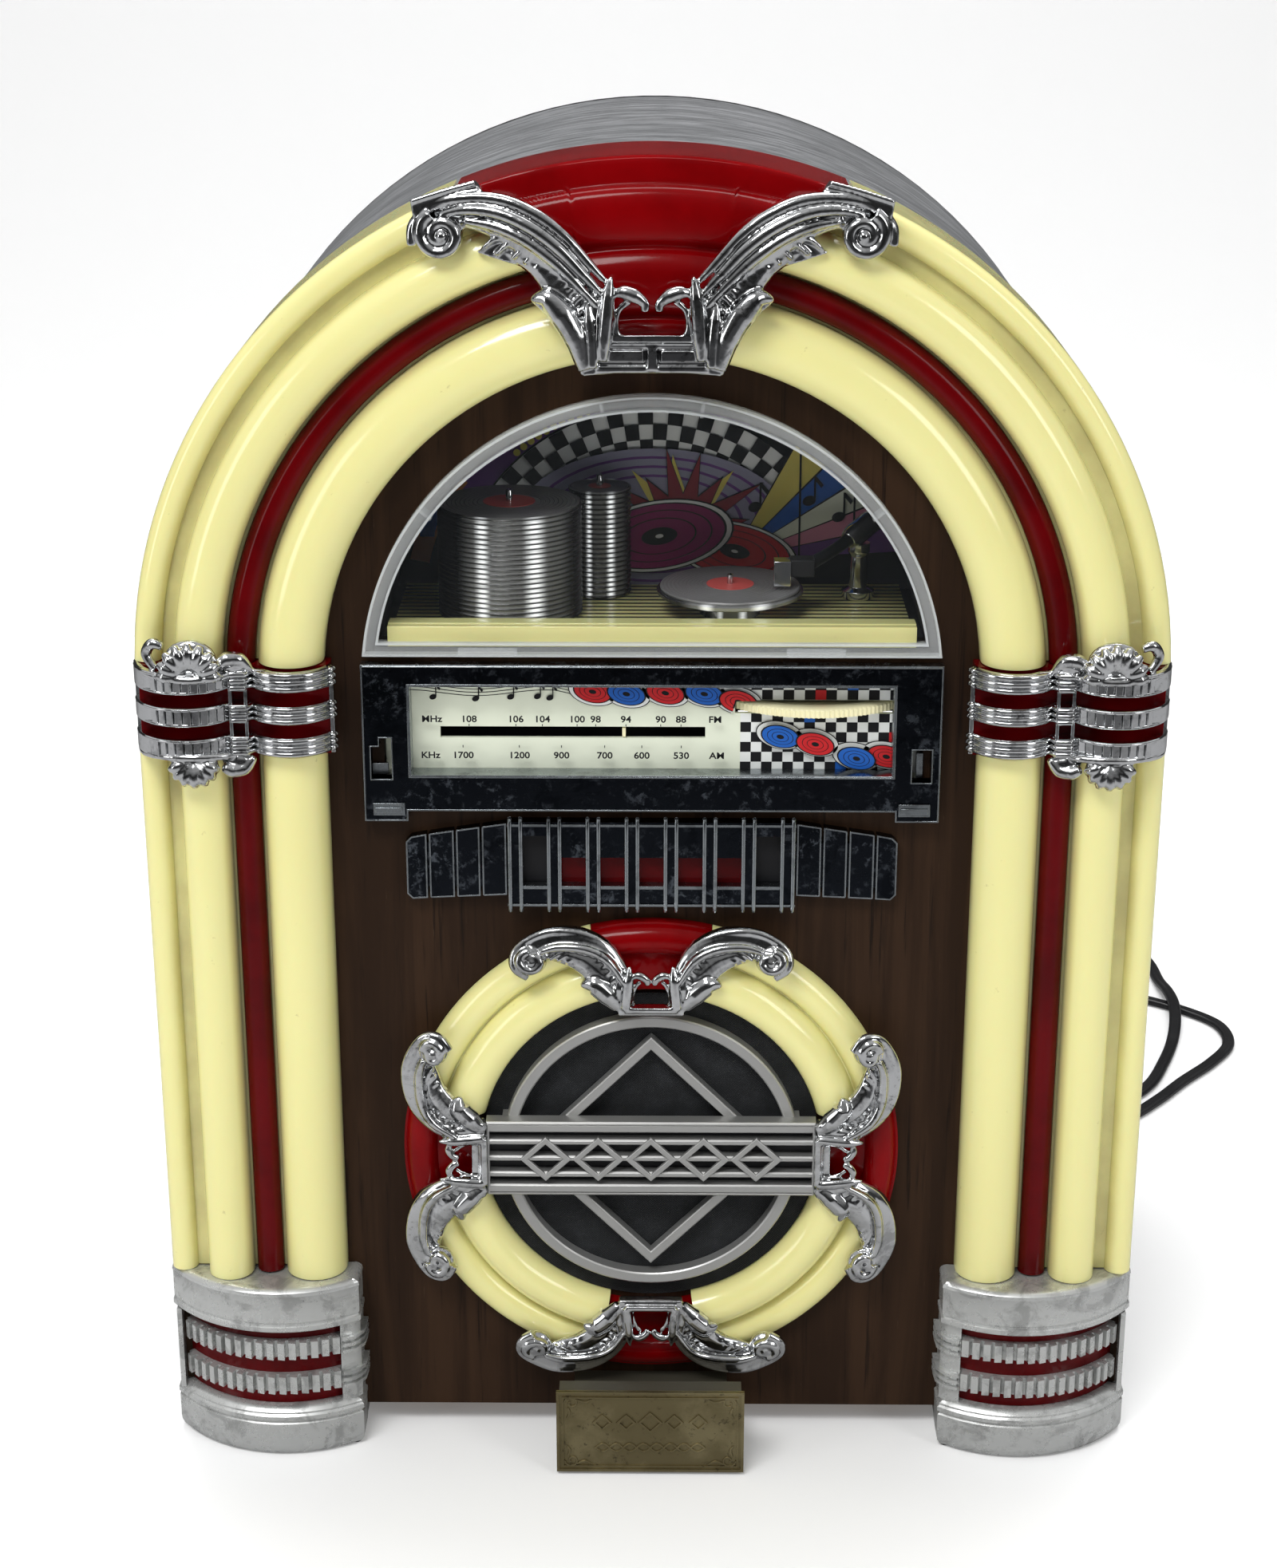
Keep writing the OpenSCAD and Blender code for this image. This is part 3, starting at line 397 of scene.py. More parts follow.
def record_silver():
    """Edges of the stacked discs: glowing painted highlight bars down the pile, painted shade on its left and
    right sides and between the discs.
    """
    f = Finish("record_silver", (0.36, 0.365, 0.36), 0.22, metal=0.45, Emission_Color=(0.93, 0.97, 1.0, 1.0))
    facing = f.node("NewGeometry")
    split = f.node("SeparateXYZ")
    f.link(facing.outputs["Normal"], split.inputs[0])
    squares = (f.math("POWER", f.math("ABSOLUTE", split.outputs[axis]), 2.0) for axis in ("X", "Y"))
    across = f.math("DIVIDE", split.outputs["X"], f.math("SQRT", f.math("ADD", *squares)))
    # Painted highlights: two bright bars where the disc edges face the lamps, chosen by the normal's
    # direction.
    left, right = (f.math("MULTIPLY", f.mask(across, middle - reach, middle),
                          f.mask(across, middle + reach, middle))
                   for middle, reach in ((-0.34, 0.13), (0.40, 0.19)))
    uneven = f.mask(f.noise((40.0, 40.0, 900.0), 3.0), 0.25, 0.55, 0.45, 1.0)
    bars = f.math("MULTIPLY", f.math("MAXIMUM", left, right), uneven)
    # Painted shade between the discs, found by the mesh's pointiness.
    painted_gap_shade = f.mask(facing.outputs["Pointiness"], 0.44, 0.50, 0.95, 0.0)
    # The highlight bars are tinted nearly white: painted highlights.
    f.tint(bars, (0.97, 0.97, 0.95))
    # Painted shade on the pile's left and right sides.
    f.tint(f.mask(across, -0.48, -0.72), (0.035, 0.035, 0.038))
    f.tint(f.mask(across, 0.72, 0.96), (0.06, 0.06, 0.062))
    f.tint(painted_gap_shade, (0.012, 0.012, 0.013))
    # The painted highlight bars also glow: a painted glint.
    painted_glint = f.math("MULTIPLY", bars, f.math("SUBTRACT", 1.0, painted_gap_shade))
    f.link(f.math("MULTIPLY", painted_glint, 0.45), f.shader.inputs["Emission Strength"])
    return f.bump(f.noise(300.0, 5.0, 0.6), 0.03, 0.4).material


def wood_board():
    """Dark walnut veneer with upright grain and pores."""
    f = Finish("walnut_veneer", (0.023, 0.0115, 0.006), 0.5, Specular_IOR_Level=0.1)
    f.tint(f.mask(f.noise((90.0, 90.0, 5.0), 6.0, 0.6, 0.6), 0.40, 0.66), (0.038, 0.019, 0.0095))
    f.tint(f.mask(f.noise((420.0, 420.0, 14.0), 4.0, 0.7), 0.55, 0.70, 0.0, 0.85), (0.010, 0.006, 0.004))
    f.tint(f.mask(f.noise((1500.0, 1500.0, 90.0), 3.0, 0.7), 0.66, 0.76, 0.0, 0.4), (0.085, 0.055, 0.032))
    f.rougher(f.mask(f.noise(30.0, 5.0), 0.4, 0.7, 0.0, 0.6), 0.62)
    return f.bump(f.noise((700.0, 700.0, 30.0), 4.0, 0.6), 0.08, 0.6).material


def wood_wrap():
    """Grey-black woodgrain vinyl: pale streaks that run round the case."""
    f = Finish("grey_woodgrain", (0.105, 0.108, 0.112), 0.55, Specular_IOR_Level=0.25)
    f.tint(f.mask(f.noise((30.0, 320.0, 30.0), 7.0, 0.65, 1.2), 0.42, 0.64), (0.215, 0.22, 0.228))
    f.tint(f.mask(f.noise((60.0, 900.0, 60.0), 6.0, 0.75, 0.8), 0.52, 0.68, 0.0, 0.9), (0.022, 0.023, 0.026))
    f.tint(f.mask(f.noise((150.0, 2200.0, 150.0), 4.0, 0.75), 0.6, 0.72, 0.0, 0.6), (0.33, 0.335, 0.345))
    f.rougher(f.mask(f.noise(40.0, 5.0), 0.4, 0.7, 0.0, 0.6), 0.68)
    return f.bump(f.noise((90.0, 1400.0, 90.0), 5.0, 0.7), 0.1, 0.6).material


def grille_cloth():
    """Black cloth: a fine weave over soft mottling."""
    f = Finish("grille_cloth", (0.008, 0.009, 0.010), 0.85, Sheen_Weight=0.12, Sheen_Roughness=0.5,
               Specular_IOR_Level=0.2)
    f.tint(f.mask(f.noise(120.0, 6.0, 0.7), 0.4, 0.75, 0.0, 0.7), (0.022, 0.024, 0.027))
    threads = []
    for axis in ("X", "Z"):
        threads.append(f.math("SINE", f.math("MULTIPLY", f.axis(axis), 2 * math.pi / (0.8 * MM))))
    weave = f.math("MULTIPLY", *threads)
    f.tint(f.mask(weave, 0.2, 1.0, 0.0, 0.25), (0.05, 0.052, 0.055))
    return f.bump(weave, 0.15, 0.6).material


def clear_plastic(name, alpha, rough=0.04, color=(0.72, 0.75, 0.76)):
    f = Finish(name, color, rough, Alpha=alpha, IOR=1.49)
    f.rougher(f.mask(f.noise(120.0, 6.0, 0.7), 0.5, 0.75, 0.0, 0.4), 0.25)
    return f.bump(f.noise(200.0, 3.0), 0.02, 0.3).material


def moulded(name, color, rough=0.45, metal=0.0, **sockets):
    return worn(Finish(name, color, rough, metal, **sockets)).material


def printed(name, color):
    """Printing ink on card: even colour with a faint halftone and a light gloss."""
    f = Finish("print_" + name, color, 0.38, Specular_IOR_Level=0.2)
    dots = f.math("MULTIPLY", f.math("SINE", f.math("MULTIPLY", f.axis("X"), 2 * math.pi / (0.5 * MM))),
                  f.math("SINE", f.math("MULTIPLY", f.axis("Z"), 2 * math.pi / (0.5 * MM))))
    f.tint(f.mask(dots, 0.3, 1.0, 0.0, 0.12), tuple(0.55 * c for c in color))
    f.tint(f.mask(f.noise(70.0, 5.0), 0.5, 0.8, 0.0, 0.2), tuple(0.7 * c for c in color))
    return f.bump(f.noise(1200.0, 2.0), 0.01, 0.3).material


def aged_brass():
    """Brass gone dark, brighter where it is rubbed."""
    f = Finish("aged_brass", (0.20, 0.165, 0.085), 0.42, metal=0.85)
    f.tint(f.mask(f.noise(55.0, 6.0, 0.6), 0.45, 0.7, 0.0, 0.75), (0.34, 0.29, 0.16))
    f.tint(f.mask(f.noise(500.0, 5.0, 0.7), 0.58, 0.7, 0.0, 0.7), (0.06, 0.05, 0.03))
    return f.bump(f.noise((300.0, 300.0, 1500.0), 4.0, 0.6), 0.04, 0.4).material


CREAM = cream_plastic()
DARK_RED = red_plastic("dark_red_lens", (0.105, 0.0008, 0.002), (0.045, 0.0004, 0.001))
BRIGHT_RED = red_plastic("bright_red_lens", (0.20, 0.0008, 0.002), (0.11, 0.0005, 0.001))
CHROME = chrome("bright_chrome", (0.66, 0.67, 0.68), (0.07, 0.07, 0.07))
FOOT_CHROME = chrome("dull_chrome", (0.60, 0.61, 0.60), (0.26, 0.26, 0.25), 0.26, 0.5, 230.0, 0.62)
WORN_CHROME = chrome("dark_chrome", (0.017, 0.020, 0.026), (0.19, 0.215, 0.25), 0.2, 0.85, 300.0)
EDGE_CHROME = chrome("edge_chrome", (0.36, 0.39, 0.41), (0.12, 0.13, 0.14), 0.22, 0.6, 300.0)
WOOD = wood_board()
WRAP = wood_wrap()
CLOTH = grille_cloth()
CLEAR = clear_plastic("clear_cover", 0.035, 0.04, (0.10, 0.11, 0.115))
# Paler, less clear lines for the window rim that stand in for its edge highlights: painted highlights.
RIM_HIGHLIGHT_LINE = clear_plastic("painted_rim_highlight", 0.5, 0.12)
CLEAR_EDGE = clear_plastic("clear_edge", 0.20, 0.1)
WHEEL_CREAM = moulded("wheel_cream", (0.84, 0.79, 0.50), 0.35, Coat_Weight=0.2)
BLACK = moulded("black_plastic", (0.016, 0.016, 0.018), 0.42, Specular_IOR_Level=0.25)
RUBBER = moulded("black_rubber", (0.018, 0.018, 0.018), 0.72)
PVC = moulded("black_pvc", (0.012, 0.012, 0.013), 0.32)
STEEL = moulded("zinc_steel", (0.52, 0.53, 0.54), 0.34, 1.0)
SATIN = moulded("satin_silver", (0.47, 0.47, 0.46), 0.36, 0.75, Coat_Weight=0.1)
RECORD = record_silver()
DISC_TOP = moulded("disc_top", (0.25, 0.25, 0.252), 0.3, 0.4, Specular_IOR_Level=0.4)
FIBRE = moulded("fibreboard", (0.30, 0.20, 0.12), 0.8)
BRASS = aged_brass()
PLAQUE_SIDE = moulded("plaque_side", (0.075, 0.068, 0.05), 0.5, 0.4)
GREEN = moulded("solder_mask", (0.02, 0.13, 0.045), 0.35)
GLASS = clear_plastic("lamp_glass", 0.35)
PAPER = moulded("cone_paper", (0.03, 0.03, 0.03), 0.9)
IRON = moulded("varnished_iron", (0.10, 0.10, 0.11), 0.5, 0.6)
INK = {name: printed(name, color) for name, color in {
    "paper": (0.72, 0.76, 0.62), "white": (0.74, 0.76, 0.74), "black": (0.012, 0.012, 0.014),
    "red": (0.50, 0.014, 0.018), "blue": (0.012, 0.10, 0.42), "magenta": (0.26, 0.008, 0.11),
    "yellow": (0.62, 0.52, 0.10), "maroon": (0.24, 0.010, 0.022), "orange": (0.50, 0.17, 0.05),
    "violet": (0.14, 0.05, 0.22), "pink": (0.60, 0.22, 0.32), "lilac": (0.26, 0.25, 0.36),
    "label": (0.62, 0.10, 0.09)}.items()}


def dress(material, *names):
    """Gives carried-over CAD nodes their finish."""
    for name in names:
        data = NODES[name].data
        data.materials.clear()
        data.materials.append(material)


dress(WRAP, "cabinet_shell")
dress(WOOD, "front_board")
dress(FIBRE, "base_board")
dress(BLACK, "dial_bracket", "rear_cover", "control_panel", "deck_frame", "display_box")
dress(STEEL, "rear_cover_screws", "control_bracket", "deck_mechanism", "speaker_basket")
dress(RUBBER, "rear_feet", "strain_relief")
dress(CREAM, "pilasters", "arch_mouldings", "speaker_ring", "tuning_capacitor")
dress(DARK_RED, "red_strips", "trim_lenses", "selector_lens")
dress(BRIGHT_RED, "crown_crest", "speaker_crests")
dress(CLOTH, "grille_cloth")
dress(PAPER, "speaker_cone")
dress(GREEN, "main_board")
dress(IRON, "transformer", "ferrite_antenna")
dress(GLASS, "crown_lamps")
dress(PLAQUE_SIDE, "plaque_block")


# ---------- mains lead ----------

CORD_ROUTE = [
    (60, 126, 40), (61, 138, 38.6), (64, 149, 33), (69, 159, 24), (75, 168, 14), (83, 175, 6),
    (94, 179, 2), (107, 178, 1.5), (120, 172, 1.5), (133, 162, 1.5), (145, 149, 1.5),
    (157, 139, 1.5), (171, 135, 1.5), (187, 143, 1.5), (201, 158, 1.5), (214, 175, 1.5),
    (229, 193, 1.5), (239, 210, 1.5), (239, 228, 1.5), (229, 242, 1.5), (211, 256, 1.5),
    (191, 266, 1.5), (171, 265, 1.5), (154, 253, 1.5), (145, 234, 1.5), (143, 212, 1.5),
    (147, 190, 1.5), (156, 168, 1.5), (171, 156, 1.5), (188, 159, 1.5), (200, 172, 1.5),
    (209, 192, 1.5), (216, 212, 1.5), (220, 228, 3.4), (222, 243, 4.8), (222, 258, 4.2),
    (221, 275, 2), (220, 296, 1.5), (214, 317, 1.5), (199, 332, 1.5), (179, 338, 1.5),
    (158, 337.2, 1.5), (146, 335.5, 1.5)]
CORD_TAIL = [(107.6, 297, 4.4), (107.2, 288, 4.5), (106.3, 279, 4.9), (104.9, 270, 5.3), (103, 262, 5.5)]
COIL_TURNS = 6.25


def coil_point(turn):
    """Place on the coil after so many turns: three turns inwards, then three outwards on top of them."""
    r = 32.5 - 5 * sum(smoothstep(k - 0.3, k, turn) for k in (1, 2)) \
        + 5 * sum(smoothstep(k - 0.3, k, turn) for k in (4.25, 5.25))
    z = 1.5 + 2.9 * smoothstep(2.85, 3.15, turn)
    a = math.pi / 2 + 2 * math.pi * turn
    return 140 + r * math.cos(a), 303 + r * math.sin(a), z


def cord_centreline():
    coil_steps = int(COIL_TURNS * 60)
    points = [spline(CORD_ROUTE, k / 420) for k in range(421)]
    points += [Vector(coil_point(COIL_TURNS * k / coil_steps)) for k in range(1, coil_steps)]
    return points + [spline(CORD_TAIL, k / 20) for k in range(21)]


def make_cord(plug_pieces):
    """Flat twin flex: two round cores side by side with a groove between them."""
    points = cord_centreline()
    lobes = [(1.12 + 1.38 * c, 1.38 * w) for c, w in (turn_of(-125 + 25 * j) for j in range(11))]
    section = lobes + [(-x, -z) for x, z in lobes]
    shape = Shape()
    rings = []
    across = Vector((1, 0, 0))
    for k, here in enumerate(points):
        along = (points[min(k + 1, len(points) - 1)] - points[max(k - 1, 0)]).normalized()
        level = Vector((along.y, -along.x, 0))
        if level.length > 0.2:
            across = level.normalized()
        up = across.cross(along).normalized()
        rings.append([(p.x, -p.y, p.z) for p in (here + across * a + up * b for a, b in section)])
    shape.rings(rings)
    cord = shape.piece("mains_cord", "cabinet", PVC, "cord_sheath", replaces=("cord_lead", "cord_coil"))


def plug_place(x, y, z):
    """From the plug's own axes, its cord at the origin and its blades towards -y, to x, h, z."""
    c, s = turn_of(12)
    return 103 + x * c - y * s, -(262 + x * s + y * c), z


def make_plug():
    body = Shape()
    profile = [(3.0, 0.0, 3.0), (3.4, -4, 3.3), (4.4, -8, 4.2), (7.4, -11, 5.0), (9.7, -14, 5.4),
               (9.9, -20, 5.4), (9.2, -22, 5.2), (9.9, -24, 5.4), (9.2, -26, 5.2), (9.9, -28, 5.4),
               (9.9, -31, 5.4), (9.5, -31.8, 5.1)]
    rings = []
    for half, y, tall in profile:
        rings.append([plug_place(math.copysign(abs(math.cos(a)) ** 0.55, math.cos(a)) * half, y,
                                 5.5 + math.copysign(abs(math.sin(a)) ** 0.55, math.sin(a)) * tall)
                      for a in full_turn(28)])
    body.rings(rings)
    plug = body.piece("plug_body", "cabinet", PVC, "cord_sheath", replaces=("plug",), subdivide=1)
    blades = Shape()
    for s in (-1, 1):
        x0, x1 = s * 6.35 - 0.72, s * 6.35 + 0.72
        loops = [[plug_place(x, y, z) for x,
                  z in ((x0, 5.5 - t), (x1, 5.5 - t), (x1, 5.5 + t), (x0, 5.5 + t))]
                 for y, t in ((-31, 3.0), (-46.5, 3.0), (-48.8, 1.6))]
        blades.rings(loops)
    metal = blades.piece("plug_blades", "cabinet", STEEL, "screw_steel", bevel=0.25)
    relief = Shape()
    profile = [(6.3, 102.05), (6.3, 103.6)]
    for k in range(7):
        y = 104.2 + 2.9 * k
        r = 6.1 - 0.34 * k
        profile += [(r, y), (r, y + 1.9), (r - 0.9, y + 2.0), (r - 0.9, y + 2.8)]
    profile += [(3.7, 125.4), (3.5, 125.9)]
    relief.rings([[(60 + r * math.cos(a), -y, 40 + r * math.sin(a)) for a in full_turn(32)]
                  for r, y in profile])
    boot = relief.piece("cord_boot", "cabinet", RUBBER, "rubber", replaces=("strain_relief",))
    return [plug, metal, boot]


make_cord(make_plug())


# ---------- chrome trim ----------

def draped(points, lift=0.0):
    """Points given as x, z get their depth: high over the middle, lower towards the tips."""
    return [(x, 90.6 + lift - 5.0 * smoothstep(24, 66, abs(x)), z) for x, z in points]


def crown_scroll(s):
    """Ribbed arm of one wing with its scroll and tab, drawn on the left."""
    s.tube(draped([(-15.5, 362), (-22, 369), (-30, 376), (-39, 381.6), (-48, 384.4), (-57, 383.5)], -2.2),
           [3.6, 4.6, 5.2, 5.2, 4.6, 3.4], 40, 12, 0.75)
    s.tube(draped([(-11.6, 366.4), (-16.5, 371.6), (-23.5, 379.4), (-31, 385), (-40, 388.6), (-50, 389),
                   (-59, 386.8), (-64.4, 381.6), (-65, 376)], 1.2),
           [0.7, 1.3, 1.6, 1.7, 1.7, 1.6, 1.5, 1.4, 1.3], 60, 10)
    s.tube(draped([(-13, 363.6), (-18.5, 369.4), (-25.5, 376.6), (-33, 382), (-41.5, 385.4), (-50, 386),
                   (-57, 384.4)], 2.2),
           [0.7, 1.4, 1.8, 1.9, 1.8, 1.5, 0.8], 60, 10)
    s.tube(draped([(-14.5, 360.6), (-20.5, 367), (-27.5, 373.6), (-35, 378.8), (-42.5, 381.8), (-50.5, 383)],
                  1.6),
           [0.7, 1.3, 1.6, 1.6, 1.5, 0.9], 60, 10)
    turns = [(-56.8 + (6.2 - 4.9 * t) * math.cos(a), 379.2 + (6.2 - 4.9 * t) * math.sin(a))
             for t, a in ((k / 20, math.radians(115 + 560 * k / 20)) for k in range(21))]
    s.tube(draped(turns, 2.2), [1.9, 1.8, 1.7, 1.5, 1.3], 110, 10)
    s.ball(draped([(-56.8, 379.2)], -0.4)[0], (6.0, 2.6, 6.0))
    s.ball(draped([(-56.6, 379.0)], 2.6)[0], 1.7)
    tab = [(-64.8, 388.2), (-47.4, 393.2), (-44.4, 389.6), (-52, 387.5), (-64.2, 384)]
    s.plate(tab, 84.2, 88.6)
    s.tube([(x, 88.4, z) for x, z in ((-64.6, 388.0), (-56, 390.7), (-47.4, 393.0))], [0.75], 10, 8)


def crown_feathers(s):
    """Feathers, leaf and stems of one wing, drawn on the left."""
    edge = [(-46.6, 374.6), (-40, 372.8), (-34.5, 371.2), (-30.5, 368.2), (-27.6, 364.6), (-25, 360.8),
            (-22.4, 357.4), (-20, 354.2)]
    barbs = 12
    for k in range(barbs):
        x, _, z = spline([(px, 0, pz) for px, pz in edge], k / (barbs - 1))
        reach = 0.72 + 0.28 * math.sin(math.pi * min(1.5 * k / (barbs - 1), 1.0))
        start, end = (x + 0.6, z + 0.5), (x + 10.5 * reach - 0.2 * k, z + 5.6 * reach + 0.16 * k)
        middle = ((start[0] + end[0]) / 2 - 0.3, (start[1] + end[1]) / 2 + 1.0)
        s.tube(draped([start, middle, end], 0.1), [0.45, 0.85, 0.8], 12, 8)
    vane = [(-47.4, 374.4), (-40, 372.0), (-34.5, 370.4), (-31, 367.6), (-31, 377.6), (-36, 378.6),
            (-41.6, 378.4)]
    s.plate(vane, 84.2, 87.9)
    s.plate([(-32, 368.4), (-28.2, 364.0), (-28.2, 374.8), (-32, 377.6)], 84.2, 88.9)
    s.plate([(-29, 365.2), (-25.6, 360.4), (-22.8, 356.8), (-20, 353.6), (-16.5, 360), (-22, 368),
             (-29, 375)], 84.2, 89.8)
    s.tube(draped([(-44, 375.4), (-36, 374.4), (-29, 370.5), (-24.4, 363.5), (-20.5, 357)], -2.6),
           [1.2, 3.2, 4.6, 4.8, 4.0], 24, 10, 0.7)
    leaf = [(-32.8, 362.2), (-28.4, 362.6), (-24.4, 358.4), (-20.6, 351.6), (-18.2, 343.4)]
    s.tube(draped(leaf, 0.4), [0.5, 2.9, 3.9, 3.4, 2.0], 36, 14, 0.9)
    s.tube(draped([(-32.6, 361.8), (-28.2, 358.6), (-24.4, 354.4), (-21.2, 348.6), (-18.6, 341.8)], -1.4),
           [0.4, 1.1, 1.3, 1.2, 1.0], 30, 8)
    s.tube(draped([(-17.4, 361.5), (-17.0, 357), (-16.4, 351), (-16.2, 344)], 1.4), [0.5, 1.7, 1.8, 1.5],
           24, 10)
    s.tube(draped([(-11.0, 368.8), (-11.8, 364), (-12.4, 358), (-13.0, 351.5), (-13.4, 346)], 2.2),
           [0.4, 1.9, 2.2, 2.0, 1.2], 30, 12)
    s.tube(draped([(-14.6, 366), (-14.9, 360), (-15.2, 353), (-15.4, 346)], 0.2), [0.8, 2.0, 2.2, 2.0], 24,
           10)
    s.tube(draped([(-9.2, 352.6), (-9.8, 356), (-9.0, 359.6), (-6.4, 362)], 1.0), [0.9, 0.9, 0.9, 1.1], 20, 8)
    s.tube(draped([(-10.2, 364.2), (-7.6, 364.6), (-4.6, 363.6), (-2.1, 361.6), (-1.9, 359.4)], 2.0),
           [1.0, 2.0, 2.1, 1.4, 1.1], 28, 12)


def make_crown_ornament():
    s = Shape()
    crown_scroll(s)
    crown_feathers(s)
    s.mirrored()
    s.box((-11.5, 86.4, 350.8), (11.5, 92.4, 353.0))
    base = [(-18.8, 341.4), (-9, 342.2), (9, 342.2), (18.8, 341.4), (17.4, 346), (16.6, 351.4),
            (-16.6, 351.4), (-17.4, 346)]
    s.plate(base, 84.4, 90.4)
    for side in (-1, 1):
        s.box((min(side * 2.4, side * 13.8), 89, 345.6), (max(side * 2.4, side * 13.8), 92.0, 348.6))
    s.box((-14.5, 89, 349.2), (14.5, 91.2, 350.8))
    s.box((-1.3, 89, 343.2), (1.3, 91.4, 350))
    s.box((-15.2, 89, 342.4), (15.2, 90.9, 344.2))
    s.piece("crown_ornament_cast", "cabinet", CHROME, "chrome", replaces=("crown_ornament",), voxel=0.42)


def plan_path(centre, radius, a0, a1, n):
    """Points of x, h on an arc, from angle a0 to a1 in degrees."""
    return [(centre[0] + radius * math.cos(a), centre[1] + radius * math.sin(a))
            for a in (math.radians(a0 + (a1 - a0) * k / n) for k in range(n + 1))]


def rail(s, path, profile):
    """Sweeps a closed profile of (outwards, z) along a path of x, h with its outside on the left."""
    rings = []
    for k, (x, h) in enumerate(path):
        ax, ah = path[max(k - 1, 0)]
        bx, bh = path[min(k + 1, len(path) - 1)]
        dx, dh = bx - ax, bh - ah
        d = math.hypot(dx, dh)
        nx, nh = -dh / d, dx / d
        rings.append([(x + nx * o, h + nh * o, z) for o, z in profile])
    s.rings(rings)


def round_profile(r, z):
    return [(r * math.cos(a), z + r * math.sin(a)) for a in full_turn(10)]


BAND_BARS = ((230.8, 236.5), (240.6, 246.0), (250.2, 256.2))


def band_side():
    """Outside of a band's outer half, in plan: over the tube, round the corner and back."""
    over = plan_path((133.4, 76.0), 15.3, 158, 4, 22)
    return over[:-1] + [(148.7, 74), (148.9, 68), (148.9, 58.4)]


def shell(s, cx, ch, cz, turn, lobes, reach, spread):
    """Scallop shell: lobes that fan out from a hinge, with a rolled rim below."""
    for k in range(lobes):
        a = math.radians(turn - spread / 2 + spread * k / (lobes - 1))
        length = reach * (0.86 + 0.14 * math.sin(math.pi * k / (lobes - 1)))
        end = (cx + length * math.cos(a), ch + 1.2, cz + length * math.sin(a))
        mid = (cx + 0.62 * length * math.cos(a), ch + 2.6, cz + 0.62 * length * math.sin(a))
        s.tube([(cx, ch, cz), mid, end], [0.6, 1.3, 1.65, 1.0], 18, 10)
    s.ball((cx, ch - 1.8, cz + 0.45 * reach * math.sin(math.radians(turn))),
           (reach * 0.72, 2.4, reach * 0.55))


def band_shape():
    """One band, drawn on the right."""
    cast = Shape()
    inner = plan_path((103.85, 76.6), 12.8, 163, 28, 26)
    outer = band_side()
    for z0, z1 in BAND_BARS:
        step = (z1 - z0) / 3
        rail(cast, inner, [(-1.2, z0), (0.1, z0), (0.1, z1), (-1.2, z1)])
        for k in range(3):
            rail(cast, inner, round_profile(step * 0.47, z0 + step * (k + 0.5)))
        facets = 12
        saw = []
        for k in range(facets):
            for a, r in ((164 - 112 * k / facets, 15.75), (164 - 112 * (k + 0.82) / facets, 15.45),
                         (164 - 112 * (k + 0.86) / facets, 14.8)):
                saw.append((133.4 + r * math.cos(math.radians(a)), 76 + r * math.sin(math.radians(a))))
        saw += [(145.6, 86.2), (147.8, 82.6), (149.0, 78), (149.4, 72), (149.6, 64), (149.6, 58.4)]
        back = plan_path((133.4, 76.0), 13.4, 164, 20, 20) + [(147.2, 72), (147.3, 58.4)]
        cast.upright(saw + back[::-1], z0 + 0.3, z1 - 0.3)
        rail(cast, outer,
             [(-1.6, z1 - 0.9), (0.35, z1 - 0.9), (0.5, z1 - 0.3), (0.1, z1 + 0.1), (-1.6, z1 + 0.1)])
        rail(cast, outer,
             [(-1.6, z0 - 0.1), (0.1, z0 - 0.1), (0.4, z0 + 0.3), (0.3, z0 + 0.8), (-1.6, z0 + 0.8)])
        for x, h in ((91.6, 81.0), (92.0, 82.2)):
            for k in range(3):
                cast.ball((x, h, z0 + step * (k + 0.5)), (1.3, 1.3, step * 0.52), rings=8, sides=12)
        cast.box((115.2, 81.6, z0), (120.6, 87.6, z1))
        for k in range(3):
            rail(cast, [(114.2, 84.2), (116, 87.6), (119.6, 87.9), (121, 85)],
                 round_profile(step * 0.42, z0 + step * (k + 0.5)))
    for x in (115.4, 119.8):
        cast.box((x, 82.0, 230.2), (x + 1.0, 86.4, 255.6))
    cast.box((91.2, 79.5, 230.2), (92.4, 82.4, 255.6))
    cast.box((147.4, 59.0, 230.2), (149.0, 61.0, 255.6))
    cast.box((147.4, 76.0, 230.2), (148.8, 78.0, 255.6))
    return cast


def band_crest_shape(up):
    """Shell with its scrolls, above the band for up = 1 and below it for up = -1."""
    s = Shape()
    z = 254.6 if up > 0 else 231.4
    shell(s, 131.0, 88.6, z, 90 * up, 9 if up > 0 else 7, 10.6 if up > 0 else 9.4, 168 if up > 0 else 120)
    rim = [(118.6, 85.6, z + 0.6 * up), (123, 89.4, z + 0.2 * up), (131, 91.4, z), (139, 89.6, z + 0.2 * up),
           (145.8, 84.0, z + 0.8 * up), (148.6, 76, z + 1.2 * up)]
    s.tube(rim, [1.0, 1.2, 1.2, 1.2, 1.1, 0.8], 40, 10)
    s.tube([(122.8, 88.6, z + 3.6 * up), (120.6, 87.4, z + 5.0 * up), (117.2, 86.2, z + 4.6 * up),
            (114.2, 85.6, z + 1.4 * up)], [1.2, 2.3, 2.3, 1.0], 24, 10)
    s.ball((119.4, 86.2, z + 2.6 * up), (4.2, 1.8, 2.4))
    if up > 0:
        s.tube([(141.0, 87.2, z + 2), (143.6, 85.6, z + 6), (141.6, 86.4, z + 9.4), (138.6, 87.0, z + 8.6)],
               [1.1, 1.6, 1.7, 1.2], 24, 10)
        s.tube([(113.8, 85.4, z + 0.9), (110, 86.6, z + 0.9), (106.6, 87.0, z + 0.3)], [1.0, 1.0, 0.7], 12, 8)
    return s


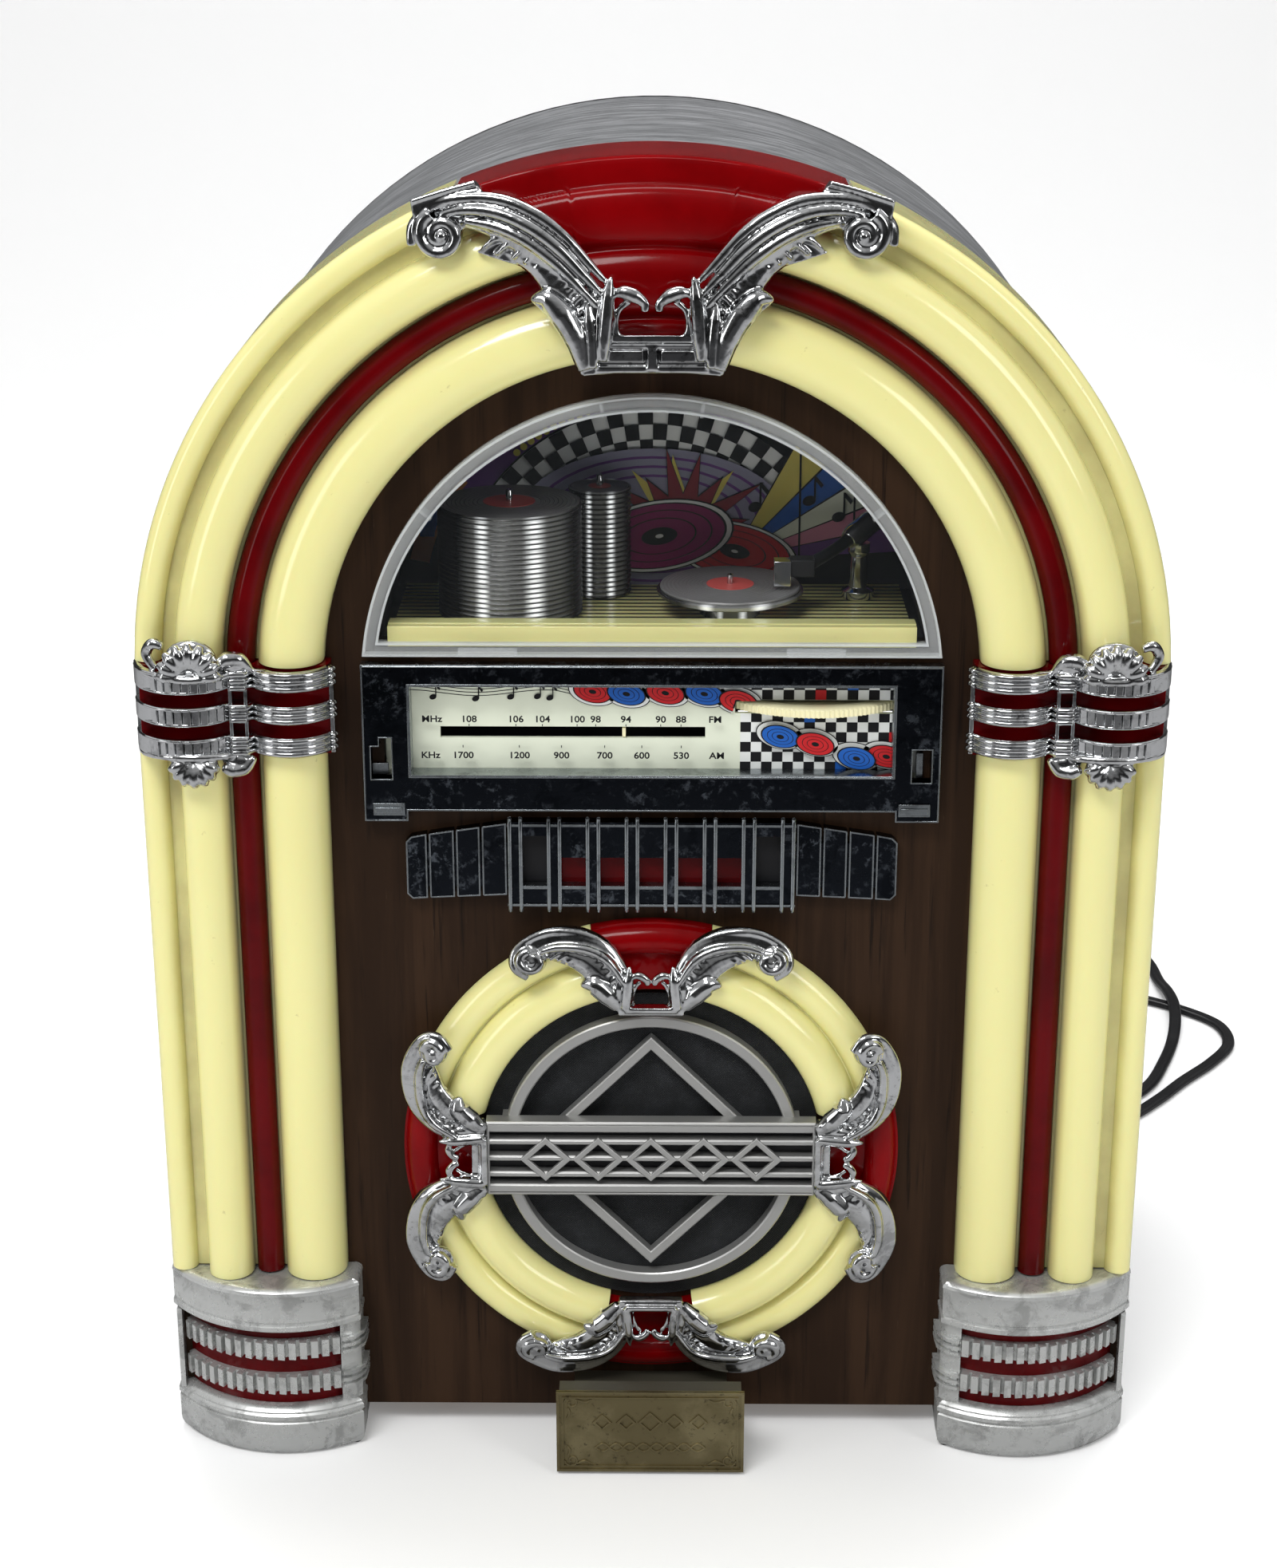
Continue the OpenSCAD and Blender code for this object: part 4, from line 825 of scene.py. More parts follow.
def make_bands():
    for name, side in (("left", -1), ("right", 1)):
        flip = (lambda x, h, z: (-x, h, z)) if side < 0 else (lambda x, h, z: (x, h, z))
        bars = band_shape().moved(flip)
        bars.piece(f"band_{name}_bars", "cabinet", CHROME, "chrome", replaces=(f"band_{name}",), bevel=0.18)
        crest = Shape()
        for up in (1, -1):
            crest.joined(band_crest_shape(up))
        crest.moved(flip).piece(f"band_{name}_shells", "cabinet", CHROME, "chrome", voxel=0.4)


FOOT_C = (115.0, 50.0)


def foot_path(r, inset=0.0):
    """Plan of a foot's outside, from its inner end round the front and back along the side."""
    x0, x1 = 90.0 + inset, 149.8 - inset
    a0 = 180 - math.degrees(math.acos((FOOT_C[0] - x0) / r))
    a1 = math.degrees(math.acos((x1 - FOOT_C[0]) / r))
    arc = plan_path(FOOT_C, r, a0, a1, 40)
    return [(x0, 74.2), (x0, 78)] + arc + [(x1, 70), (x1, 58), (x1, 45.2)]


def foot_shape():
    """One foot, drawn on the right: two satin rings, two toothed bars and a finned end."""
    s = Shape()
    top = [(-10, 43.6), (-1.6, 43.6), (-1.6, 44.4), (-0.3, 44.4), (0, 44.8), (0, 46.2), (-0.7, 46.6),
           (-0.7, 47.2), (-0.35, 47.6), (-0.35, 56.4), (-0.1, 56.8), (-0.3, 57.8), (-1.2, 58.6),
           (-2.2, 58.9), (-10, 58.4)]
    low = [(-10, 0), (-2.6, 0), (-1.2, 0.9), (-0.4, 2.4), (-0.2, 4), (-0.2, 11.6), (-0.7, 12.0),
           (-0.7, 12.6), (0, 13.0), (0, 14.4), (-0.6, 15.0), (-0.6, 15.6), (-1.4, 16.4), (-2.4, 17.0),
           (-10, 16.6)]
    path = foot_path(43.0)
    rail(s, path, top)
    rail(s, path, low)
    fill = [(90.6, 74.2)] + foot_path(37.0, 3.0)[1:-3] + [(146, 74.2)]
    s.upright(fill, 50.0, 58.3)
    s.upright(fill, 2.0, 16.4)
    s.upright([(91, 45.4), (91, 74), (149, 74), (149, 45.4)], 0.3, 7.4)
    rail(s, [(147.6, 78), (147.6, 60), (147.6, 45.2)], [(-0.6, 16), (0.9, 16), (0.9, 44), (-0.6, 44)])
    for z0, z1 in ((20.6, 28.4), (32.8, 40.4)):
        count = 17
        a0, a1 = 121.0, 40.0
        teeth = []
        for k in range(count):
            for share, r in ((0.0, 41.9), (0.62, 41.5), (0.66, 39.6), (0.96, 39.8)):
                c, w = turn_of(a0 + (a1 - a0) * (k + share) / count)
                teeth.append((FOOT_C[0] + r * c, FOOT_C[1] + r * w))
        back = plan_path(FOOT_C, 38.0, a0, a1, 20)
        s.upright(teeth + back[::-1], z0 + 1.2, z1 - 0.6)
        ledge = plan_path(FOOT_C, 38.8, a0 + 2, a1 - 2, 30) + [(148.2, 72), (148.4, 60), (148.4, 46)]
        rail(s, ledge, [(-3, z0 + 2.0), (0.4, z0 + 2.0), (0.4, z1 - 1.8), (-3, z1 - 0.6)])
        for k in range(3):
            z = z0 + 1.8 + 2.2 * k
            rail(s, [(96.0, 86.8), (92.6, 85.6), (90.2, 82.2), (89.9, 78), (89.9, 74.3)],
                 [(-1, z - 0.5), (0.9, z - 0.45), (1.2, z), (0.9, z + 0.45), (-1, z + 0.5)])
    s.upright([(90.5, 74.2), (90.5, 82.6), (92.4, 85.0), (96.4, 86.4), (96.4, 83), (94, 81), (93.6, 74.2)],
              16.5, 44.0)
    return s


def make_feet():
    for name, side in (("left", -1), ("right", 1)):
        foot = foot_shape()
        if side < 0:
            foot.moved(lambda x, h, z: (-x, h, z))
        foot.piece(f"foot_{name}_cast", "cabinet", FOOT_CHROME, "chrome", replaces=(f"foot_{name}",),
                   bevel=0.16)


make_crown_ornament()
make_bands()
make_feet()


# ---------- speaker trim ----------

def ornament_wing(s):
    """Half of a speaker ornament in its own axes: x along the ring, z outwards from the speaker's middle."""
    def at(points, lift=0.0):
        return [(t, 83.6 + lift - 2.6 * smoothstep(60, 76, r), r - 3.2 * smoothstep(63, 77, r))
                for t, r in points]

    s.tube(at([(-6, 55), (-9.5, 62.5), (-14.5, 69.5), (-21.5, 73.8), (-29, 74.2), (-35.5, 71)], -0.6),
           [1.6, 2.8, 3.7, 4.1, 3.8, 3.0], 40, 12, 0.8)
    s.tube(at([(-8.4, 62), (-13, 71.4), (-20, 76.4), (-29, 77.3), (-36, 74.6), (-40.4, 69.2), (-40.4, 63.4),
               (-36.4, 60.6)],
              0.8), [0.8, 1.3, 1.5, 1.5, 1.4, 1.4, 1.5, 1.6], 50, 10)
    s.tube(at([(-8, 59), (-12.6, 66.4), (-19, 71.2), (-27.4, 72.2), (-33, 70)], 2.4),
           [0.6, 1.3, 1.5, 1.3, 0.8], 40, 10)
    turns = [(-35.4 + (4.2 - 3.0 * k / 14) * math.cos(a), 66.0 + (4.2 - 3.0 * k / 14) * math.sin(a))
             for k, a in ((k, math.radians(100 + 430 * k / 14)) for k in range(15))]
    s.tube(at(turns, 2.0), [1.5, 1.4, 1.1], 70, 10)
    s.ball(at([(-35.6, 65.6)], -0.4)[0], (4.8, 2.6, 4.8))
    s.ball(at([(-35.4, 65.8)], 2.0)[0], 1.5)
    edge = [(-30.5, 65.4), (-25.5, 64.4), (-20.5, 62), (-16.5, 58.4), (-13.4, 54.4)]
    for k in range(9):
        p = spline([(t, 0, r) for t, r in edge], k / 8)
        s.tube(at([(p.x + 0.4, p.z + 0.3), (p.x + 3.2, p.z + 2.8), (p.x + 6.6 - 0.3 * k, p.z + 4.4)], 0.3),
               [0.4, 0.75, 0.7], 10, 8)
    s.tube(at([(-31.5, 66.2), (-28, 67), (-21, 65.2), (-15.4, 60.4), (-12, 55.2)], -1.2),
           [0.6, 2.4, 3.9, 4.2, 3.2], 20, 10, 0.62)
    s.tube(at([(-21.0, 57.6), (-17.2, 58.0), (-13, 54.6), (-9.6, 50.6)], 0.2), [0.5, 3.2, 3.3, 1.8], 30, 12,
           0.9)
    s.tube(at([(-6.4, 64.4), (-6.7, 60), (-7.2, 55), (-7.6, 50.6)], 1.8), [0.4, 1.5, 1.7, 1.4], 24, 10)
    s.tube(at([(-9.2, 62.4), (-9.6, 57), (-10, 51)], 0.4), [0.6, 1.6, 1.4], 20, 10)
    s.tube(at([(-5.8, 60.8), (-3.6, 61.4), (-1.4, 60), (-1.1, 58.2)], 1.4), [0.7, 1.3, 1.2, 0.7], 20, 10)
    s.tube(at([(-5.4, 51), (-5.6, 54), (-4.6, 57.4), (-3.2, 59.2)], 0.6), [0.8, 0.7, 0.7, 0.8], 16, 8)


def make_speaker_ornaments():
    for name, turn in (("top", 0), ("right", 90), ("bottom", 180), ("left", 270)):
        s = Shape()
        ornament_wing(s)
        s.mirrored()
        s.box((-7.8, 82.6, 49.6), (7.8, 86.6, 51.4))
        if turn in (90, 270):
            s.box((-12.4, 80.4, 50.3), (12.4, 85.4, 52.2))
            s.box((-10.4, 81, 52), (10.4, 84.4, 54.4))
        else:
            s.box((-9.8, 81.8, 48.3), (9.8, 85.4, 50.2))
        c, w = turn_of(turn)
        s.moved(lambda x, h, z: (x * c + z * w, h, SPEAKER_Z - x * w + z * c))
        s.piece(f"speaker_ornament_{name}", "cabinet", CHROME, "chrome",
                replaces=("speaker_ornaments",) if turn == 0 else (), voxel=0.38)


def frame_rail(s, path, profile, slot=0):
    """Sweeps a closed profile of (outwards, h) round a path of x, z, with mitred corners."""
    n = len(path)
    rings = []
    for k, (x, z) in enumerate(path):
        before, after = Vector(path[k - 1]), Vector(path[(k + 1) % n])
        here = Vector((x, z))
        sides = [Vector((d.y, -d.x)).normalized() for d in (here - before, after - here) if d.length > 1e-6]
        mean = sum(sides, Vector((0, 0))).normalized()
        stretch = 1 / max(mean.dot(sides[0]), 0.4)
        rings.append([(x + mean.x * o * stretch, h, z + mean.y * o * stretch) for o, h in profile])
    s.add([p for ring in rings for p in ring], skin(n, len(profile), closed=True), slot)


def bar_profile(o0, o1, h0, h1, c=0.4):
    """Rectangle with chamfered front edges."""
    return [(o0, h0), (o1, h0), (o1, h1 - c), (o1 - c, h1), (o0 + c, h1), (o0, h1 - c)]


def make_speaker_badge():
    s = Shape()
    ring = [(43.6 * math.cos(a), SPEAKER_Z + 43.6 * math.sin(a)) for a in full_turn(120)]
    frame_rail(s, ring, bar_profile(-1.8, 1.8, 75.0, 79.5, 0.5))
    half = 36.4
    diamond = [(half, SPEAKER_Z), (0, SPEAKER_Z + half), (-half, SPEAKER_Z), (0, SPEAKER_Z - half)]
    frame_rail(s, diamond, bar_profile(-1.5, 1.5, 75.2, 79.3, 0.4))
    lip = [(50, 112.4), (-50, 112.4), (-50, 87.6), (50, 87.6)]
    frame_rail(s, lip, [(-0.9, 79), (0, 79), (0, 83.4), (-0.5, 84), (-0.9, 84)])
    for z, t in ((110.2, 1.45), (89.8, 1.45), (105.5, 0.95), (100.0, 0.95), (94.6, 0.95)):
        section = ((80.2, -t), (83.2, -t), (83.8, 0.5 - t), (83.8, t - 0.5), (83.2, t), (80.2, t))
        s.rings([[(x, h, z + dz) for h, dz in section] for x in (-49.6, 49.6)])
    for k in (-2, -1, 0, 1, 2):
        frame_rail(s, [(k * 16 + 6.6, 100.0), (k * 16, 106.2), (k * 16 - 6.6, 100.0), (k * 16, 93.8)],
                   bar_profile(-0.85, 0.85, 83.0, 84.4, 0.25))
    for x in (-43.6, 43.6):
        s.box((x - 1.6, 75, 87.6), (x + 1.6, 79.4, 112.4))
    s.piece("speaker_badge_frame", "cabinet", SATIN, "satin_silver", replaces=("speaker_badge",), bevel=0.12)
    back = Shape()
    back.box((-49.4, 79.3, 88.6), (49.4, 80.0, 111.4))
    back.piece("badge_back", "cabinet", BLACK, "black_plastic", bevel=0.1)


make_speaker_ornaments()
make_speaker_badge()


# ---------- window and display ----------

def half_ring(r, z0):
    """Outline of a half disc above z0 about the arch's centre, from right to left over the top."""
    a0 = math.asin((z0 - SPRING_Z) / r)
    angles = [a0 + (math.pi - 2 * a0) * k / 64 for k in range(65)]
    return [(r * math.cos(a), SPRING_Z + r * math.sin(a)) for a in angles]


def make_window_cover():
    pane = Shape()
    pane.plate(half_ring(80.6, 259.8), 78.1, 79.5)
    pane.piece("window_pane", "cabinet", CLEAR, "clear_cover", replaces=("window_cover",))
    rim = Shape()
    frame_rail(rim, half_ring(81.5, 260.0),
               [(-1.7, 74.1), (2.0, 74.1), (2.0, 78.6), (1.2, 79.8), (-0.4, 79.8), (-1.7, 79.2)])
    # Painted highlights: two thin, paler lines along the rim's edges, in the second material.
    for r, z, wide, h0, h1 in ((83.1, 258.4, 0.35, 76, 79.4), (79.6, 262.0, 0.35, 78.0, 80)):
        frame_rail(rim, half_ring(r, z), [(-wide, h0), (wide, h0), (wide, h1), (-wide, h1)], slot=1)
    for x in (-47, 47):
        rim.box((x - 8.5, 79.0, 258.2), (x + 8.5, 79.95, 260.8))
    for degrees in (80, 100, 38, 142):
        c, w = turn_of(degrees)
        rim.rings([[(83.2 * c - q * w + o * c, h, SPRING_Z + 83.2 * w + q * c + o * w) for o, h in
                    ((-4.4, 74.3), (0.2, 74.3), (0.2, 79.9), (-4.4, 79.9))] for q in (-0.5, 0.5)])
    rim.piece("window_rim", "cabinet", [CLEAR_EDGE, RIM_HIGHLIGHT_LINE], "clear_cover", bevel=0.15)


def disc_outline(cx, cz, rx, rz, tilt=0.0, n=40):
    c, w = turn_of(tilt)
    return [(cx + rx * math.cos(a) * c - rz * math.sin(a) * w, cz + rx * math.cos(a) * w
             + rz * math.sin(a) * c)
            for a in full_turn(n)]


class Print:
    """Flat printed shapes laid over each other, each in one ink."""

    def __init__(self, h, inks):
        self.shape, self.h, self.inks, self.step = Shape(), h, inks, 0.03

    def lay(self, ink, outline, raised=True):
        """Prints one outline, over the earlier ones unless raised is False."""
        self.h += self.step * raised
        self.shape.plate(outline, self.h - 0.25, self.h, self.inks.index(ink))

    def record(self, ink, cx, cz, rx, rz, tilt=0.0):
        """Record with a white rim, a dark outline, grooves and a black label."""
        for colour, k in (("black", 1.12), ("white", 1.09), ("black", 1.015), (ink, 0.98), ("black", 0.80),
                          (ink, 0.775), ("black", 0.56), (ink, 0.535), ("black", 0.27), ("white", 0.06)):
            self.lay(colour, disc_outline(cx, cz, rx * k, rz * k, tilt))

    def note(self, x, z, size):
        """Music note with a round head, a stem and a flag."""
        stem = ((0.42, 0), (0.6, 0), (0.6, 2.3), (0.42, 2.3))
        flag = ((0.6, 2.3), (1.3, 1.5), (1.1, 1.2), (0.6, 1.8))
        self.lay("black", disc_outline(x, z, 0.62 * size, 0.46 * size, 20, 20))
        for outline in (stem, flag):
            self.lay("black", [(x + a * size, z + b * size) for a, b in outline])

    def piece(self, name, slot, replaces=()):
        return self.shape.piece(name, "cabinet", [INK[i] for i in self.inks], slot, replaces=replaces,
                                smooth=False)


def rim_point(x0, z0, angle):
    """Where the line from (x0, z0) at an angle meets the edge of the half disc."""
    dx, dz = turn_of(angle)
    oz = z0 - SPRING_Z
    b = x0 * dx + oz * dz
    t = -b + math.sqrt(b * b - (x0 * x0 + oz * oz - DISC_R * DISC_R))
    return x0 + dx * t, z0 + dz * t


def ring_segment(cx, cz, r0, r1, a0, a1, n=6):
    angles = [math.radians(a0 + (a1 - a0) * k / n) for k in range(n + 1)]
    return [(cx + r0 * math.cos(a), cz + r0 * math.sin(a)) for a in angles] \
        + [(cx + r1 * math.cos(a), cz + r1 * math.sin(a)) for a in reversed(angles)]


def print_border(art):
    """Coloured arcs, a row of beads and a band of checkers round the edge."""
    art.lay("black", half_ring(78.6, 263.0))
    art.lay("violet", ring_segment(0, 256, 61, 72, 62, 150, 24))
    art.lay("orange", ring_segment(-12, 256, 58, 64, 140, 168, 10))
    art.lay("orange", ring_segment(6, 256, 61.5, 66, 18, 42, 10))
    art.lay("blue", ring_segment(-58, 276, 9, 13.5, 50, 178, 12))
    art.lay("yellow", ring_segment(-58, 276, 6.5, 8, 50, 178, 12))
    for k in range(20):
        c, w = turn_of(84 + 2.5 * k)
        art.lay("yellow", disc_outline(1 + 63.8 * c, 255 + 63.8 * w, 1.1, 1.1, 0, 12))
    art.lay("white", ring_segment(0, 256, 46, 60.5, 27, 153, 40))
    for row in range(3):
        for k in range(28):
            if (row + k) % 2 == 0:
                a = 27 + 4.5 * k
                art.lay("black", ring_segment(0, 256, 46.2 + 4.8 * row, 51.0 + 4.8 * row, a, a + 4.5, 2))


def print_rays(art):
    """Lilac disc, coloured rays with notes, and two fine posts."""
    art.lay("lilac", disc_outline(0, 281, 42, 23.5))
    for k in (0.9, 0.78, 0.66):
        art.lay("violet", disc_outline(0, 281, 42 * k, 23.5 * k))
        art.lay("lilac", disc_outline(0, 281, 42 * k - 1.1, 23.5 * k - 0.8))
    fans = (("yellow", 62, 46), ("blue", 46, 33), ("paper", 33, 22), ("pink", 22, 12), ("violet", 12, 3))
    for ink, a0, a1 in fans:
        art.lay(ink, [(24, 270), rim_point(24, 270, a1), rim_point(24, 270, (a0 + a1) / 2),
                      rim_point(24, 270, a0)])
        edge = rim_point(24, 270, a0)
        art.lay("black", [(24, 270), (edge[0] + 0.4, edge[1]), (edge[0] - 0.2, edge[1] + 0.4)])
    for x, top in ((44.4, 312), (61, 296)):
        art.lay("black", [(x, 268), (x + 0.6, 268), (x + 0.6, top), (x, top)])
    for x, z in ((31, 286.5), (47.5, 288.5), (56.5, 283.5)):
        art.note(x, z, 3.3)


def print_star(art):
    """Burst with uneven tips over three yellow spikes."""
    def around(degrees, across, up):
        c, w = turn_of(degrees)
        return BURST_X + across * c, BURST_Z + up * w

    star = []
    for k in range(10):
        a = 190 - 22.4 * k
        r = (25.5, 21, 28, 20, 27)[k % 5]
        star += [around(a, r, 0.95 * r), around(a - 11.2, 11.5, 11.5)]
    for a in (97, 52, 128):
        art.lay("yellow", [around(a - 14, 11, 11), around(a, 25, 24), around(a + 14, 11, 11)])
    art.lay("black", [(BURST_X + (x - BURST_X) * 1.05, BURST_Z + (z - BURST_Z) * 1.05) for x, z in star])
    art.lay("maroon", star)


def make_backdrop():
    art = Print(13.2, ["black", "white", "violet", "yellow", "lilac", "red", "magenta", "blue", "pink",
                       "orange", "paper", "maroon"])
    print_border(art)
    print_rays(art)
    print_star(art)
    art.record("red", 25.0, 272.8, 17.5, 8.2, -12)
    art.record("magenta", 2.0, 277.6, 20.5, 10.0, 9)
    art.piece("display_backdrop_print", "print_card", ("display_backdrop",))


def make_ledge():
    front = Shape()
    front.box((-75.9, 68.1, 260.1), (75.9, 75.9, 266.2))
    front.box((-75.9, 68.1, 266.0), (75.9, 73.4, 266.5))
    front.piece("display_sill", "cabinet", CREAM, "cream_plastic", replaces=("display_ledge",), bevel=0.5)
    floor = Shape()
    floor.box((-75.6, 14.4, 260.2), (75.6, 68.0, 261.9))
    for k in range(14):
        h = 67.0 - 3.75 * k
        floor.box((-75.6, h - 1.1, 261.9), (75.6, h, 262.0), 1)
    floor.piece("display_floor", "cabinet", [CREAM, INK["black"]], "cream_plastic", smooth=False)


def record_stack(s, cx, cy, r, height, discs, base):
    """Pile of thin discs about a spindle, with grooves and a label on the top one."""
    pitch = height / discs
    side = [(0.6, base)]
    for k in range(discs):
        z = base + k * pitch
        side += [(r - 0.9 + 0.9 * math.sin(math.pi * q / 6), z + (0.1 + 0.9 * q / 6) * pitch)
                 for q in range(7)]
    top = base + height
    side += [(r * 0.985, top - 0.1)]
    side += [(0.6, top - 0.1)]
    s.lathe(side, (cx, -cy, 0), "z", 96)
    face = [(r * 0.97, top - 0.3), (r * 0.97, top)]
    for k in range(9):
        g = r * (0.94 - 0.06 * k)
        face += [(g, top), (g - r * 0.02, top - 0.12), (g - r * 0.04, top)]
    s.lathe(face + [(0.6, top), (0.6, top - 0.3)], (cx, -cy, 0), "z", 72, 3)
    s.lathe([(0.5, top - 0.05), (r * 0.36, top - 0.05), (r * 0.36, top + 0.12), (0.5, top + 0.12)],
            (cx, -cy, 0), "z", 40, 1)
    s.lathe([(0.05, top), (1.0, top), (1.0, top + 3.2), (0.7, top + 3.6), (0.05, top + 3.6)], (cx, -cy, 0),
            "z", 20, 2)


def make_records():
    stacks = Shape()
    record_stack(stacks, -42, -46, 21.3, 33.6, 23, 262.05)
    record_stack(stacks, -16, -24, 9.5, 33.0, 22, 262.05)
    stacks.piece("record_piles", "cabinet", [RECORD, INK["label"], CHROME, DISC_TOP], "record_silver",
                 replaces=("record_stacks",))
    deck = Shape()
    cx, ch = 23.0, 46.0
    deck.lathe([(0.5, 262.05), (9, 262.05), (9, 267.6), (20.6, 267.9), (21.6, 268.4), (21.7, 269.3),
                (21.0, 269.6), (0.5, 269.6)],
               (cx, ch, 0), "z", 72, 0)
    disc = [(0.6, 269.7), (20.6, 269.7), (20.8, 270.2), (20.6, 270.6)]
    for k in range(11):
        g = 20.0 - 1.15 * k
        disc += [(g, 270.75), (g - 0.4, 270.6), (g - 0.7, 270.75)]
    deck.lathe(disc + [(0.6, 270.75)], (cx, ch, 0), "z", 72, 4)
    deck.lathe([(0.5, 270.6), (7.0, 270.6), (7.0, 270.9), (0.5, 270.9)], (cx, ch, 0), "z", 40, 1)
    deck.lathe([(0.05, 270), (0.9, 270), (0.9, 273.6), (0.05, 274)], (cx, ch, 0), "z", 20, 2)
    deck.piece("turntable_deck", "cabinet", [RECORD, INK["label"], CHROME, BLACK, DISC_TOP],
               "record_silver", replaces=("turntable",))
    arm = Shape()
    arm.lathe([(0.1, 262.1), (5, 262.1), (5, 264.4), (2.9, 265.4), (2.4, 275), (3.4, 276.4), (3.4, 279),
               (0.1, 279)],
              (62, 29, 0), "z", 32)
    arm.tube([(58.4, 32.6, 280.4), (60.4, 30.6, 281.6), (65.4, 26.0, 284.4), (67.0, 24.6, 285.2)],
             [2.6, 3.6, 3.6, 2.4], 24, 16)
    arm.box((35.6, 48.0, 271.9), (40.6, 53.4, 279.4))
    arm.piece("tonearm_cast", "cabinet", CHROME, "chrome", replaces=("tonearm",), bevel=0.6)
    head = Shape()
    head.box((40.4, 46.2, 274.4), (47.6, 52.2, 279.6))
    head.tube([(46.6, 47.4, 277.4), (50.6, 42.6, 278.2), (55, 37, 279.4), (60, 31, 281.4)],
              [2.0, 1.8, 1.8, 2.0], 24, 12)
    head.piece("tonearm_head", "cabinet", BLACK, "black_plastic", bevel=0.5)


make_window_cover()
make_backdrop()
make_ledge()
make_records()


# ---------- dial and selector ----------

def rect(x0, z0, x1, z1):
    return [(x0, z0), (x1, z0), (x1, z1), (x0, z1)]


def pierced(s, outline, holes, h0, h1):
    """Flat plate with holes through it; outline and holes are lists of x, z."""
    loops = [outline] + holes
    flat = [Vector((x, z, 0)) for loop in loops for x, z in loop]
    n = len(flat)
    faces = []
    for a, b, c in mathutils.geometry.tessellate_polygon([[Vector((x, z, 0)) for x, z in loop]
                                                          for loop in loops]):
        faces += [[a, b, c], [n + c, n + b, n + a]]
    start = 0
    for loop in loops:
        m = len(loop)
        faces += [[start + k, start + (k + 1) % m, n + start + (k + 1) % m, n + start + k] for k in range(m)]
        start += m
    s.add([(v.x, h0, v.y) for v in flat] + [(v.x, h1, v.y) for v in flat], faces)


def lettering(words, size):
    """Thin solid letters about the origin: points (across, up, out) and faces."""
    curve = bpy.data.curves.new("letters", "FONT")
    curve.body, curve.size, curve.align_x, curve.align_y = words, size, "CENTER", "CENTER"
    curve.extrude, curve.resolution_u, curve.offset = 0.05, 4, 0.022 * size
    holder = bpy.data.objects.new("letters", curve)
    work = bmesh.new()
    work.from_mesh(holder.to_mesh())
    bmesh.ops.remove_doubles(work, verts=work.verts, dist=1e-4)
    work.verts.index_update()
    points = [tuple(v.co) for v in work.verts]
    faces = [[v.index for v in face.verts] for face in work.faces]
    work.free()
    holder.to_mesh_clear()
    bpy.data.objects.remove(holder)
    bpy.data.curves.remove(curve)
    return points, faces


def print_words(art, words, x, z, size):
    points, faces = lettering(words, size)
    art.shape.add([(x + 1.12 * a, art.h + 0.05 + c, z + b) for a, b, c in points], faces,
                  art.inks.index("black"))


def strip(points, width):
    """Outline of a thin line through x, z points."""
    return [(x, z + width / 2) for x, z in points] + [(x, z - width / 2) for x, z in reversed(points)]


DIAL_MARKS = (("MHz", -63.9, 0), ("108", -53.1, 0), ("106", -39.5, 0), ("104", -31.8, 0), ("100", -21.7, 0),
              ("98", -16.3, 0), ("94", -7.5, 0), ("90", 2.6, 0), ("88", 8.5, 0), ("FM", 18.4, 0),
              ("KHz", -64.5, 1), ("1700", -55.0, 1), ("1200", -38.6, 1), ("900", -26.3, 1), ("700", -13.7, 1),
              ("600", -2.9, 1), ("530", 8.6, 1), ("AM", 19.0, 1))
CHAIN = (("red", -17.2, 245.6), ("blue", -7.4, 245.0), ("red", 3.9, 245.4), ("blue", 15.2, 245.2),
         ("red", 25.1, 242.9), ("red", 68.4, 226.3), ("blue", 37.4, 232.4), ("red", 47.6, 230.2),
         ("blue", 59.7, 225.9))


def make_dial_plate():
    art = Print(71.9, ["paper", "black", "white", "red", "blue"])
    slots = [rect(-61.7, 231.3, 15.6, 234.7), rect(24.2, 239, 71, 243)]
    pierced(art.shape, rect(-77.7, 217.3, 77.7, 251.7), slots, 70.6, 71.9)
    art.lay("white", rect(25.8, 220.8, 77.5, 238.9))
    art.lay("white", rect(25.8, 243.1, 77.5, 251.5), False)
    rows = [(221.0 + 3.05 * j, min(224.05 + 3.05 * j, 238.9)) for j in range(6)]
    rows += [(243.1, 246.1), (246.1, 249.1), (249.1, 251.5)]
    art.h += art.step
    for j, (z0, z1) in enumerate(rows):
        for i in range(16):
            ink = "black" if (i + j) % 2 == 0 else {1: "red", 6: "blue"}.get((5 * i + 3 * j) % 13)
            if ink:
                art.lay(ink, rect(25.8 + 3.1 * i, z0, 28.9 + 3.1 * i, z1), False)
    for k in range(5):
        art.lay("black", strip([(x, 245.0 + 1.0 * k + 0.9 * math.sin(x / 6.5)) for x in range(-70, -27, 2)]
                               + [(-22, 244.4 + 0.8 * k)], 0.22), False)
    art.h += art.step
    for x, z in ((-63.6, 243.7), (-51.2, 243.2), (-41, 243.8), (-33.2, 244.0), (-29.6, 243.6)):
        art.note(x, z, 1.7)
    for grow, ink in ((1.32, "black"), (1.26, "white")):
        art.h += art.step
        for _, x, z in CHAIN:
            art.lay(ink, clipped(disc_outline(x, z, 5.5 * grow, 3.2 * grow, -14), z), False)
    for ink, x, z in CHAIN:
        for colour, k in (("black", 1.06), (ink, 0.98), ("black", 0.72), (ink, 0.68), ("black", 0.46),
                          (ink, 0.42), ("black", 0.2)):
            art.lay(colour, clipped(disc_outline(x, z, 5.5 * k, 3.2 * k, -14), z))
    for words, x, row in DIAL_MARKS:
        print_words(art, words, x, 226.6 if row else 237.7, 2.75)
        if words.isdigit():
            art.lay("black", rect(x - 0.12, 229.0 if row else 235.6, x + 0.12, 229.7 if row else 236.2),
                    False)
    art.piece("dial_card", "print_card", ("dial_plate",))


def clipped(outline, z):
    """Keeps a printed disc off the thumb wheel's slot."""
    if z > 240:
        return [(a, max(b, 243.1 if a > 24 else b)) for a, b in outline]
    return [(a, min(b, 238.9)) for a, b in outline]


